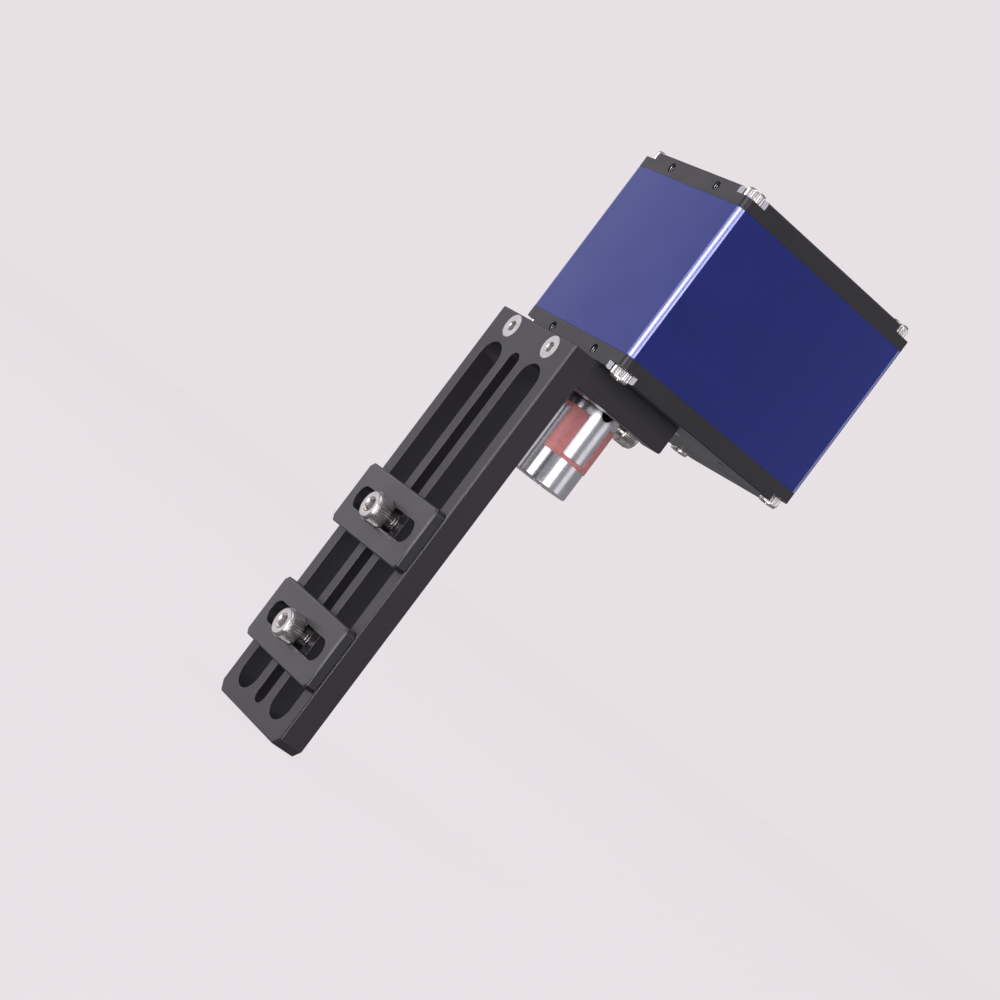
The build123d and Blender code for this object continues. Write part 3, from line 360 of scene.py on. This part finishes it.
def bare_cut(name, colour, rough):
    """Fly-cut aluminium with fine tool lines."""
    material, tree, shader, space = start_finish(name)
    lines = pattern(tree, space, 0.07 * MM, (1, 1, 14))
    tree.links.new(two_tone(tree, lines, shade(colour, 0.8), shade(colour, 1.1)), shader.inputs["Base Color"])
    tree.links.new(between(tree, lines, rough - 0.05, rough + 0.08), shader.inputs["Roughness"])
    raise_surface(tree, shader, lines, 0.003 * MM)
    shader.inputs["Metallic"].default_value = 1.0
    return material


bare_corner = bare_cut("bare_corner_cut", (0.30, 0.30, 0.31), 0.46)
for plate_name, seat_side in (("front_plate", 1), ("rear_plate", -1)):
    plate = machined_copy(plate_name, PLATE_EDGE_BREAK, plate_skin, plate_highlight_edge)
    plate.data.materials.append(bare_corner)
    low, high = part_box(plate_name)
    cut_level = low.z + CORNER_CUT if seat_side > 0 else high.z - CORNER_CUT
    for face in plate.data.polygons:
        from_x, from_y = corner_distances(face.center)
        in_corner = from_x + from_y < CORNER_REACH and max(from_x, from_y) < CORNER_SIDE
        in_cut = (cut_level - face.center.z) * seat_side > -CUT_MARGIN
        squarely_outward = max(abs(face.normal.x), abs(face.normal.y)) > 0.95
        if in_corner and in_cut and not squarely_outward and abs(face.normal.z) < 0.5:
            face.material_index = THIRD_FINISH

# ---- Tapped holes in the plates ----
# Two holes in each plate's edge and two in the front plate's face, tapped after
# anodising, so their threads are bright. Each thread is a real helix in its hole.


def new_node(tree, kind, **settings):
    """A node with its settings made."""
    node = tree.nodes.new(kind)
    for key, value in settings.items():
        setattr(node, key, value)
    return node


def open_tree(name, wanted):
    """A Geometry Nodes tree with named inputs and one geometry output."""
    tree = bpy.data.node_groups.new(name, "GeometryNodeTree")
    for label, kind in wanted:
        tree.interface.new_socket(label, in_out="INPUT", socket_type=kind)
    tree.interface.new_socket("Made", in_out="OUTPUT", socket_type="NodeSocketGeometry")
    return tree, new_node(tree, "NodeGroupInput").outputs


def helix_thread(tree, given, radius, length, pitch, crest_share):
    """A helix of a small square section, rising from the Tip's height."""
    link = tree.links.new
    turns = new_node(tree, "ShaderNodeMath", operation="DIVIDE")
    link(given[length], turns.inputs[0])
    link(given[pitch], turns.inputs[1])
    helix = new_node(tree, "GeometryNodeCurveSpiral")
    helix.inputs["Resolution"].default_value = 20
    link(turns.outputs[0], helix.inputs["Rotations"])
    link(given[radius], helix.inputs["Start Radius"])
    link(given[radius], helix.inputs["End Radius"])
    link(given[length], helix.inputs["Height"])
    crest = new_node(tree, "ShaderNodeMath", operation="MULTIPLY")
    crest.inputs[1].default_value = crest_share
    link(given[pitch], crest.inputs[0])
    section = new_node(tree, "GeometryNodeCurvePrimitiveCircle", mode="RADIUS")
    section.inputs["Resolution"].default_value = 4
    link(crest.outputs[0], section.inputs["Radius"])
    thread = new_node(tree, "GeometryNodeCurveToMesh")
    thread.inputs["Fill Caps"].default_value = True
    link(helix.outputs["Curve"], thread.inputs["Curve"])
    link(section.outputs["Curve"], thread.inputs["Profile Curve"])
    lowered = new_node(tree, "ShaderNodeCombineXYZ")
    link(given["Tip"], lowered.inputs["Z"])
    placed = new_node(tree, "GeometryNodeTransform")
    link(thread.outputs["Mesh"], placed.inputs["Geometry"])
    link(lowered.outputs[0], placed.inputs["Translation"])
    return placed.outputs["Geometry"]


def close_tree(tree, given, seats, body, turn):
    """Sets a body at every seat, makes it real and gives it its material."""
    link = tree.links.new
    seated = new_node(tree, "GeometryNodeInstanceOnPoints")
    link(given[seats], seated.inputs["Points"])
    link(body, seated.inputs["Instance"])
    link(given[turn], seated.inputs["Rotation"])
    real = new_node(tree, "GeometryNodeRealizeInstances")
    link(seated.outputs["Instances"], real.inputs["Geometry"])
    coated = new_node(tree, "GeometryNodeSetMaterial")
    link(real.outputs["Geometry"], coated.inputs["Geometry"])
    link(given["Metal"], coated.inputs["Material"])
    out = new_node(tree, "NodeGroupOutput")
    link(coated.outputs["Geometry"], out.inputs[0])


def grow(name, seats, tree, given):
    """Runs a tree on a set of points and keeps the result as a plain mesh."""
    points = bpy.data.meshes.new(name)
    points.from_pydata(seats, [], [])
    piece = bpy.data.objects.new(name, points)
    bpy.context.scene.collection.objects.link(piece)
    modifier = piece.modifiers.new("grown", "NODES")
    modifier.node_group = tree
    for socket in tree.interface.items_tree:
        if socket.in_out == "INPUT" and socket.name in given:
            modifier[socket.identifier] = given[socket.name]
    return settle(piece)


thread_tree, thread_inputs = open_tree("tapped_thread", [
    ("Seats", "NodeSocketGeometry"), ("Turn", "NodeSocketRotation"), ("Hole Radius", "NodeSocketFloat"),
    ("Depth", "NodeSocketFloat"), ("Pitch", "NodeSocketFloat"), ("Tip", "NodeSocketFloat"),
    ("Metal", "NodeSocketMaterial")])
tapped = helix_thread(thread_tree, thread_inputs, "Hole Radius", "Depth", "Pitch", 0.30)
close_tree(thread_tree, thread_inputs, "Seats", tapped, "Turn")
TOWARDS_X = (0.0, pi / 2, 0.0)
TOWARDS_MINUS_X = (0.0, -pi / 2, 0.0)
UP = (0.0, 0.0, 0.0)
DOWN = (pi, 0.0, 0.0)
THREAD_PITCH = 0.45 * MM
TAPPED_DEPTH = 4.0 * MM
thread_metal = bare_cut("bright_thread", (0.62, 0.62, 0.63), 0.30)
for mount in frame["record"]["mounts"]:
    dims = mount["dims"]
    if "hole_r_mm" in dims:
        reach = dims.get("spacing_x_mm", dims.get("spacing_y_mm")) / 2 * MM
        middle = Vector(mount["pos_m"])
        seats = [middle + Vector((0, side * reach, 0)) for side in (-1, 1)]
        turn = TOWARDS_X if mount["axis"][0] > 0.5 else DOWN
        thread = grow(mount["name"] + "_threads", seats, thread_tree,
                      {"Turn": turn, "Metal": thread_metal, "Hole Radius": dims["hole_r_mm"] * MM,
                       "Pitch": THREAD_PITCH, "Depth": TAPPED_DEPTH, "Tip": -TAPPED_DEPTH - THREAD_PITCH / 2})
        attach(thread, "root")

# ---- Foot block and slotted rail ----
# The L bracket: two aluminium bars, milled, fine bead-blasted and black anodised.
# Their edge breaks are painted paler: a painted highlight.
BRACKET_DYE = (0.034, 0.031, 0.037)
FOOT_EDGE_BREAK = 0.10 * MM
RAIL_EDGE_BREAK = 0.12 * MM
bracket_skin = anodised("black_bracket_anodised", BRACKET_DYE, 0.12 * MM, EVEN, 0.3, 0.44, 0.006 * MM,
                        coat=0.3)
bracket_highlight_edge = anodised("black_bracket_highlight_edge", (0.11, 0.105, 0.12), 0.1 * MM, EVEN, 0.6, 0.36, 0.002 * MM)
machined_copy("foot_block", FOOT_EDGE_BREAK, bracket_skin, bracket_highlight_edge)
machined_copy("slotted_rail", RAIL_EDGE_BREAK, bracket_skin, bracket_highlight_edge)

# ---- Clamp plates ----
# Two small milled plates that bridge the rail and take the long screws. Same black
# finish, a touch smoother, with finely broken edges all round.
CLAMP_DYE = (0.036, 0.034, 0.039)
CLAMP_EDGE_BREAK = 0.12 * MM
clamp_skin = anodised("black_clamp_anodised", CLAMP_DYE, 0.10 * MM, (1, 6, 1), 0.35, 0.40, 0.004 * MM)
# The clamps' edge breaks take the same paler colour, a painted highlight.
for clamp_name in ("upper_clamp_plate", "lower_clamp_plate"):
    machined_copy(clamp_name, CLAMP_EDGE_BREAK, clamp_skin, bracket_highlight_edge)

# ---- Socket cap screws ----
# Stainless cap screws with knurled heads, a polished chamfer, a hex socket and
# a rolled thread. Each head and shank is turned, then given its ridges and thread.


def turned_steel(name, colour, rough, line):
    """Turned metal: fine rings left by the tool, a little uneven polish."""
    material, tree, shader, space = start_finish(name)
    rings = pattern(tree, space, line)
    cloudy = pattern(tree, space, 1.6 * MM, detail=2.0)
    steel = two_tone(tree, cloudy, shade(colour, 0.86), shade(colour, 1.05))
    tree.links.new(steel, shader.inputs["Base Color"])
    tree.links.new(between(tree, rings, rough - 0.06, rough + 0.10), shader.inputs["Roughness"])
    raise_surface(tree, shader, rings, 0.004 * MM)
    shader.inputs["Metallic"].default_value = 1.0
    return material


STAINLESS = (0.67, 0.65, 0.63)
screw_steel = turned_steel("stainless_screw", STAINLESS, 0.33, 0.05 * MM)


LATHE_STEPS = 48
TURNED_SMOOTH_BELOW = radians(38)


def lathe(name, rings):
    """A closed body turned about Z from (radius, height, hexagonal) rings, end to end."""
    body = bmesh.new()
    loops = []
    for radius, height, hexagonal in rings:
        loop = []
        for step in range(LATHE_STEPS):
            angle = 2 * pi * step / LATHE_STEPS
            reach = radius / cos(angle % (pi / 3) - pi / 6) if hexagonal else radius
            loop.append(body.verts.new((reach * cos(angle), reach * sin(angle), height)))
        loops.append(loop)
    for below, above in zip(loops, loops[1:]):
        for step in range(LATHE_STEPS):
            following = (step + 1) % LATHE_STEPS
            body.faces.new((below[step], below[following], above[following], above[step]))
    body.faces.new(reversed(loops[0]))
    body.faces.new(loops[-1])
    bmesh.ops.recalc_face_normals(body, faces=body.faces)
    mesh = bpy.data.meshes.new(name)
    body.to_mesh(mesh)
    body.free()
    mesh.polygons.foreach_set("use_smooth", [True] * len(mesh.polygons))
    mesh.set_sharp_from_angle(angle=TURNED_SMOOTH_BELOW)
    return bpy.data.objects.new(name, mesh)


def cap_screw_rings(head, height, socket, shank, length):
    """Outline of a socket cap screw, from the tip up and down into the socket."""
    lip = 0.10 * head
    tip = 0.25 * shank
    core = 0.93 * shank
    side = 0.93 * head
    dish = height - 0.02 * head
    return [(0.55 * shank, -length, False), (shank - tip, -length, False), (core, -length + tip, False),
            (core, 0, False), (0.90 * head, 0, False), (side, 0.04 * head, False),
            (side, height - 1.6 * lip, False), (0.90 * head, height - 0.5 * lip, False),
            (0.84 * head, height, False), (0.60 * head + 0.4 * socket, dish, False),
            (1.22 * socket, dish, False), (socket, height - 0.14 * head, True),
            (socket, 0.5 * height, True), (0.35 * socket, 0.42 * height, False)]


def screw_tree(name, ridged):
    """Geometry Nodes: puts a thread and any ridges on a turned body and sets it at every seat."""
    tree, given = open_tree(name, [
        ("Seats", "NodeSocketGeometry"), ("Body", "NodeSocketObject"), ("Turn", "NodeSocketRotation"),
        ("Head Radius", "NodeSocketFloat"), ("Head Height", "NodeSocketFloat"), ("Ridges", "NodeSocketInt"),
        ("Ridge Size", "NodeSocketFloat"), ("Shank Radius", "NodeSocketFloat"),
        ("Thread Length", "NodeSocketFloat"), ("Pitch", "NodeSocketFloat"), ("Tip", "NodeSocketFloat"),
        ("Metal", "NodeSocketMaterial")])
    link = tree.links.new
    body = new_node(tree, "GeometryNodeObjectInfo", transform_space="ORIGINAL")
    link(given["Body"], body.inputs["Object"])
    joined = new_node(tree, "GeometryNodeJoinGeometry")
    link(helix_thread(tree, given, "Shank Radius", "Thread Length", "Pitch", 0.36), joined.inputs["Geometry"])
    if ridged:
        rim = new_node(tree, "GeometryNodeMeshCircle", fill_type="NONE")
        link(given["Ridges"], rim.inputs["Vertices"])
        link(given["Head Radius"], rim.inputs["Radius"])
        band = new_node(tree, "ShaderNodeMath", operation="MULTIPLY")
        band.inputs[1].default_value = 0.72
        link(given["Head Height"], band.inputs[0])
        ridge = new_node(tree, "GeometryNodeMeshCylinder")
        ridge.inputs["Vertices"].default_value = 4
        link(given["Ridge Size"], ridge.inputs["Radius"])
        link(band.outputs[0], ridge.inputs["Depth"])
        around = new_node(tree, "GeometryNodeInputPosition")
        facing = new_node(tree, "FunctionNodeAlignRotationToVector", axis="X")
        link(around.outputs[0], facing.inputs["Vector"])
        ribs = new_node(tree, "GeometryNodeInstanceOnPoints")
        link(rim.outputs["Mesh"], ribs.inputs["Points"])
        link(ridge.outputs["Mesh"], ribs.inputs["Instance"])
        link(facing.outputs[0], ribs.inputs["Rotation"])
        middle = new_node(tree, "ShaderNodeMath", operation="MULTIPLY")
        middle.inputs[1].default_value = 0.43
        link(given["Head Height"], middle.inputs[0])
        raised = new_node(tree, "ShaderNodeCombineXYZ")
        link(middle.outputs[0], raised.inputs["Z"])
        lifted = new_node(tree, "GeometryNodeTransform")
        link(ribs.outputs["Instances"], lifted.inputs["Geometry"])
        link(raised.outputs[0], lifted.inputs["Translation"])
        link(lifted.outputs["Geometry"], joined.inputs["Geometry"])
    link(body.outputs["Geometry"], joined.inputs["Geometry"])
    whole = new_node(tree, "GeometryNodeRealizeInstances")
    link(joined.outputs["Geometry"], whole.inputs["Geometry"])
    close_tree(tree, given, "Seats", whole.outputs["Geometry"], "Turn")
    return tree


ridged_tree = screw_tree("knurled_screws", True)
plain_tree = screw_tree("plain_screws", False)


def screw_set(node, seats, turn, body, tree, metal, slot, **sizes):
    """Screws at their seats, in place of a CAD node."""
    bpy.context.scene.collection.objects.link(body)
    piece = grow(node + "_finished", seats, tree, {"Body": body, "Turn": turn, "Metal": metal, **sizes})
    bpy.data.objects.remove(body)
    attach(piece, frame["nodes"][node]["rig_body"])
    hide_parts(node)
    return piece


def knurled_screws(node, seats, turn, head, height, socket, shank, length, ridges, pitch):
    """Cap screws with a ridged head, at seats in metres."""
    ridge = 0.62 * pi * head / ridges
    body = lathe(node + "_turned", cap_screw_rings(head, height, socket, shank, length))
    return screw_set(node, seats, turn, body, ridged_tree, screw_steel, "stainless_screw",
                     **{"Head Radius": 0.97 * head - 0.45 * ridge, "Head Height": height, "Ridges": ridges,
                        "Ridge Size": ridge, "Shank Radius": 0.90 * shank, "Pitch": pitch,
                        "Thread Length": 0.86 * length, "Tip": -0.96 * length})


CLAMP_HEAD = 4.0 * MM
M4_SOCKET = 1.5 * MM
M4_SHANK = 2.0 * MM
M4_PITCH = 0.7 * MM
for screw_name in ("upper_clamp_screw", "lower_clamp_screw"):
    low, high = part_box(screw_name)
    head_radius = (high.z - low.z) / 2
    seat = (high.x - CLAMP_HEAD, (low.y + high.y) / 2, (low.z + high.z) / 2)
    knurled_screws(screw_name, [seat], TOWARDS_X, head_radius, CLAMP_HEAD, M4_SOCKET, M4_SHANK,
                   seat[0] - low.x, 42, M4_PITCH)

CORNER_HEAD = 2.5 * MM
CORNER_RADIUS = 2.25 * MM
CORNER_SOCKET = 1.05 * MM
CORNER_SHANK = 1.25 * MM
for screw_name, turn in (("front_plate_screws", DOWN), ("rear_plate_screws", UP)):
    low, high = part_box(screw_name)
    level = low.z + CORNER_HEAD if turn == DOWN else high.z - CORNER_HEAD
    length = high.z - low.z - CORNER_HEAD
    seats = [(x, y, level) for x in (low.x + CORNER_RADIUS, high.x - CORNER_RADIUS)
             for y in (low.y + CORNER_RADIUS, high.y - CORNER_RADIUS)]
    knurled_screws(screw_name, seats, turn, CORNER_RADIUS, CORNER_HEAD, CORNER_SOCKET, CORNER_SHANK,
                   length, 30, THREAD_PITCH)

HUB_HEAD = 4.2 * MM
HUB_SOCKET = 1.25 * MM
M3_SHANK = 1.5 * MM
M3_PITCH = 0.5 * MM
low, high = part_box("upper_hub_cap_screw")
seat = (low.x + HUB_HEAD, (low.y + high.y) / 2, (low.z + high.z) / 2)
knurled_screws("upper_hub_cap_screw", [seat], TOWARDS_MINUS_X, (high.z - low.z) / 2, HUB_HEAD, HUB_SOCKET,
               M3_SHANK, high.x - seat[0], 36, M3_PITCH)

# ---- Countersunk screws ----
# Two flat-headed stainless screws join the rail to the foot, flush with the rail's
# front. They are turned, threaded and given a hex socket like the cap screws.


def flat_screw_rings(head, height, socket, shank, length):
    """Outline of a countersunk screw, from the tip up and down into the socket."""
    core = 0.93 * shank
    rim = 0.97 * head
    return [(0.5 * shank, -length, False), (0.75 * shank, -length, False),
            (core, -length + 0.2 * shank, False), (core, -height, False),
            (rim, -0.05 * head, False), (rim, 0, False),
            (1.24 * socket, 0, False), (1.12 * socket, -0.05 * head, False), (socket, -0.08 * head, True),
            (socket, -0.7 * height, True), (0.3 * socket, -0.8 * height, False)]


M3_FLAT_HEAD = 2.85 * MM
M3_FLAT_HEIGHT = 1.65 * MM
M3_FLAT_SOCKET = 1.0 * MM
low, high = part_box("rail_screws")
length = high.x - low.x
seats = [(high.x, y, (low.z + high.z) / 2) for y in (low.y + M3_FLAT_HEAD, high.y - M3_FLAT_HEAD)]
body = lathe("rail_screws_turned",
             flat_screw_rings(M3_FLAT_HEAD, M3_FLAT_HEIGHT, M3_FLAT_SOCKET, M3_SHANK, length))
screw_set("rail_screws", seats, TOWARDS_X, body, plain_tree, screw_steel, "stainless_screw",
          **{"Shank Radius": 0.90 * M3_SHANK, "Pitch": M3_PITCH, "Thread Length": 0.75 * length,
             "Tip": -0.97 * length})

# ---- Jaw coupling hubs ----
# Turned and polished aluminium hubs with two milled jaws each. The lathe leaves very
# fine rings, and the jaws' edges are lightly rounded.


def polished_hub(name, colour, rough):
    """Polished turned aluminium: rings along Z finer than the eye parts, faint haze."""
    material, tree, shader, space = start_finish(name)
    rings = pattern(tree, space, 0.05 * MM, (40, 40, 1))
    haze = pattern(tree, space, 2.5 * MM, detail=2.0)
    tree.links.new(two_tone(tree, haze, shade(colour, 0.92), colour), shader.inputs["Base Color"])
    tree.links.new(between(tree, rings, rough - 0.04, rough + 0.06), shader.inputs["Roughness"])
    raise_surface(tree, shader, rings, 0.0012 * MM)
    shader.inputs["Metallic"].default_value = 1.0
    return material


HUB_EDGE_BREAK = 0.18 * MM
hub_metal = polished_hub("polished_aluminium", (0.88, 0.88, 0.91), 0.22)
hub_edge = polished_hub("polished_edge", (0.90, 0.90, 0.92), 0.10)
for hub_name in ("upper_hub", "lower_hub"):
    machined_copy(hub_name, HUB_EDGE_BREAK, hub_metal, hub_edge)

# ---- Spider ----
# The coupling's cushion: a moulded red elastomer cross whose lobes fill the gaps
# between the jaws, a little proud, with soft rounded edges.
RED = (0.98, 0.36, 0.35)
SPIDER_EDGE_BREAK = 0.22 * MM
red_rubber, tree, shader, space = start_finish("red_elastomer")
mottle = pattern(tree, space, 1.2 * MM)
fine_pits = pattern(tree, space, 0.12 * MM)
tree.links.new(two_tone(tree, mottle, shade(RED, 0.86), shade(RED, 1.02)), shader.inputs["Base Color"])
tree.links.new(between(tree, fine_pits, 0.36, 0.5), shader.inputs["Roughness"])
raise_surface(tree, shader, fine_pits, 0.006 * MM)
shader.inputs["Subsurface Weight"].default_value = 0.12
shader.inputs["Subsurface Radius"].default_value = (1.0, 0.25, 0.2)
shader.inputs["Subsurface Scale"].default_value = 1.0 * MM
# The spider's edge breaks are painted a darker red: painted shade along its edges.
red_shaded_edge, tree, shader, space = start_finish("red_elastomer_shaded_edge")
tree.links.new(two_tone(tree, pattern(tree, space, 0.8 * MM), shade(RED, 0.5), shade(RED, 0.7)),
               shader.inputs["Base Color"])
shader.inputs["Roughness"].default_value = 0.45
machined_copy("spider", SPIDER_EDGE_BREAK, red_rubber, red_shaded_edge)

# ---- Geared motor inside the box ----
# Pressed and zinc-plated steel shells, ground shafts in sintered bronze bushes, hobbed
# brass gears, a ferrite magnet, and enamelled copper windings in steel claw poles.
# Its plain fasteners are stainless, and the hubs' headless screws are black steel.


def dress(node, material):
    """Gives a CAD piece its finish."""
    mesh = frame["nodes"][node].data
    mesh.materials.clear()
    mesh.materials.append(material)


def worked_metal(name, colour, rough, size, stretch, relief, metal=1.0):
    """Metal with a directional working pattern."""
    material, tree, shader, space = start_finish(name)
    marks = pattern(tree, space, size, stretch)
    worked = two_tone(tree, marks, shade(colour, 0.8), shade(colour, 1.12))
    tree.links.new(worked, shader.inputs["Base Color"])
    tree.links.new(between(tree, marks, rough - 0.06, rough + 0.08), shader.inputs["Roughness"])
    raise_surface(tree, shader, marks, relief)
    shader.inputs["Metallic"].default_value = metal
    return material


zinc = worked_metal("zinc_plated", (0.58, 0.59, 0.58), 0.36, 0.4 * MM, EVEN, 0.004 * MM)
for node in ("gearbox_cover", "gearbox_plate", "motor_can", "lower_front_poles", "lower_rear_poles",
             "upper_front_poles", "upper_rear_poles", "board_standoffs"):
    dress(node, zinc)
ground = worked_metal("ground_steel", (0.62, 0.62, 0.62), 0.2, 0.04 * MM, (30, 30, 1), 0.001 * MM)
for node in ("output_shaft", "first_axle", "second_axle", "rotor_shaft"):
    dress(node, ground)
bronze = worked_metal("sintered_bronze", (0.50, 0.31, 0.13), 0.48, 0.06 * MM, EVEN, 0.01 * MM)
for node in ("output_bush", "rotor_front_bush", "rotor_rear_bush"):
    dress(node, bronze)
brass = worked_metal("hobbed_brass", (0.75, 0.53, 0.20), 0.28, 0.05 * MM, (1, 1, 12), 0.003 * MM)
for node in ("output_gear", "second_gear", "first_gear", "rotor_pinion"):
    dress(node, brass)
ferrite = worked_metal("pressed_ferrite", (0.055, 0.055, 0.06), 0.55, 0.1 * MM, EVEN, 0.01 * MM, metal=0.2)
dress("rotor_magnet", ferrite)
copper = worked_metal("enamelled_copper", (0.62, 0.24, 0.10), 0.25, 0.12 * MM, (60, 60, 1), 0.03 * MM)
for node in ("lower_coil", "upper_coil"):
    dress(node, copper)
for node in ("foot_screws", "motor_screws", "board_screws"):
    dress(node, screw_steel)
black_steel = worked_metal("black_oxide_steel", (0.035, 0.034, 0.036), 0.36, 0.06 * MM, EVEN, 0.004 * MM)
for node in ("upper_hub_set_screw", "lower_hub_set_screws"):
    dress(node, black_steel)

# ---- Circuit board and rear sockets ----
# A green laminate board hangs under the rear plate. Its sockets stand up through
# the plate: a metal-shelled data socket, a moulded handset and power socket, a light.


def moulded(name, colour, rough, gloss=0.4):
    """Moulded plastic with a fine spark-eroded texture."""
    material, tree, shader, space = start_finish(name)
    texture = pattern(tree, space, 0.09 * MM)
    plastic = two_tone(tree, texture, shade(colour, 0.85), shade(colour, 1.2))
    tree.links.new(plastic, shader.inputs["Base Color"])
    tree.links.new(between(tree, texture, rough - 0.05, rough + 0.07), shader.inputs["Roughness"])
    raise_surface(tree, shader, texture, 0.008 * MM)
    shader.inputs["Specular IOR Level"].default_value = gloss
    return material


black_plastic = moulded("black_moulding", (0.022, 0.022, 0.024), 0.45)
# The mouldings' edge breaks are painted paler: a painted highlight.
black_plastic_highlight_edge = moulded("black_moulding_highlight_edge", (0.05, 0.05, 0.054), 0.35)
shell_steel = worked_metal("socket_shell", (0.66, 0.65, 0.62), 0.27, 0.2 * MM, (1, 1, 6), 0.003 * MM)
# The shell's edge breaks are painted lighter: a painted highlight.
shell_highlight_edge = worked_metal("socket_shell_highlight_edge", (0.78, 0.77, 0.74), 0.2, 0.2 * MM, EVEN, 0.002 * MM)
SHELL_EDGE_BREAK = 0.12 * MM
MOULDED_EDGE_BREAK = 0.15 * MM
machined_copy("data_socket", SHELL_EDGE_BREAK, shell_steel, shell_highlight_edge)
for socket_name in ("handset_socket", "power_socket"):
    machined_copy(socket_name, MOULDED_EDGE_BREAK, black_plastic, black_plastic_highlight_edge)

contact_tree, contact_inputs = open_tree("contact_row", [
    ("Seats", "NodeSocketGeometry"), ("Turn", "NodeSocketRotation"), ("Foot", "NodeSocketVector"),
    ("Crown", "NodeSocketVector"), ("Wire Radius", "NodeSocketFloat"), ("Metal", "NodeSocketMaterial")])
wire_line = new_node(contact_tree, "GeometryNodeCurvePrimitiveLine")
contact_tree.links.new(contact_inputs["Foot"], wire_line.inputs["Start"])
contact_tree.links.new(contact_inputs["Crown"], wire_line.inputs["End"])
wire_section = new_node(contact_tree, "GeometryNodeCurvePrimitiveCircle", mode="RADIUS")
wire_section.inputs["Resolution"].default_value = 10
contact_tree.links.new(contact_inputs["Wire Radius"], wire_section.inputs["Radius"])
wire = new_node(contact_tree, "GeometryNodeCurveToMesh")
wire.inputs["Fill Caps"].default_value = True
contact_tree.links.new(wire_line.outputs["Curve"], wire.inputs["Curve"])
contact_tree.links.new(wire_section.outputs["Curve"], wire.inputs["Profile Curve"])
close_tree(contact_tree, contact_inputs, "Seats", wire.outputs["Mesh"], "Turn")
gold = worked_metal("gold_flash", (0.83, 0.60, 0.22), 0.24, 0.1 * MM, EVEN, 0.002 * MM)
CONTACT_COUNT = 6
CONTACT_PITCH = 1.27 * MM
CONTACT_RADIUS = 0.23 * MM
CONTACT_FOOT = (0, -3.3 * MM, -1.6 * MM)
CONTACT_CROWN = (0, 0.6 * MM, -7.5 * MM)
low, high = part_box("handset_socket")
mouth = Vector(((low.x + high.x) / 2, (low.y + high.y) / 2, high.z))
seats = [mouth + Vector(((n - (CONTACT_COUNT - 1) / 2) * CONTACT_PITCH, 0, 0)) for n in range(CONTACT_COUNT)]
contacts = grow("handset_contacts", seats, contact_tree,
                {"Turn": UP, "Foot": CONTACT_FOOT, "Crown": CONTACT_CROWN, "Wire Radius": CONTACT_RADIUS,
                 "Metal": gold})
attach(contacts, "root")
low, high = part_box("power_socket")
PIN_RADIUS = 1.02 * MM
PIN_LENGTH = 7.0 * MM
PIN_DEPTH = 1.5 * MM
pin_seat = ((low.x + high.x) / 2, (low.y + high.y) / 2, high.z - PIN_DEPTH)
power_pin = lathe("power_pin", [(PIN_RADIUS, -PIN_LENGTH, False), (PIN_RADIUS, -0.3 * MM, False),
                                (0.72 * MM, 0.02 * MM, False), (0.2 * MM, 0.05 * MM, False)])
power_pin.data.transform(Matrix.Translation(pin_seat))
power_pin.data.materials.append(shell_steel)
bpy.context.scene.collection.objects.link(power_pin)
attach(power_pin, "root")
for node in ("terminal_block", "motor_socket"):
    dress(node, black_plastic)
for node in ("driver_chip", "control_chip"):
    dress(node, moulded("package_" + node, (0.026, 0.026, 0.028), 0.5))
dress("circuit_board", moulded("green_laminate", (0.02, 0.16, 0.06), 0.3, 0.6))
dress("motor_ribbon", moulded("grey_insulation", (0.42, 0.42, 0.44), 0.4))
dress("status_light", moulded("milky_lens", (0.72, 0.78, 0.72), 0.25, 0.6))
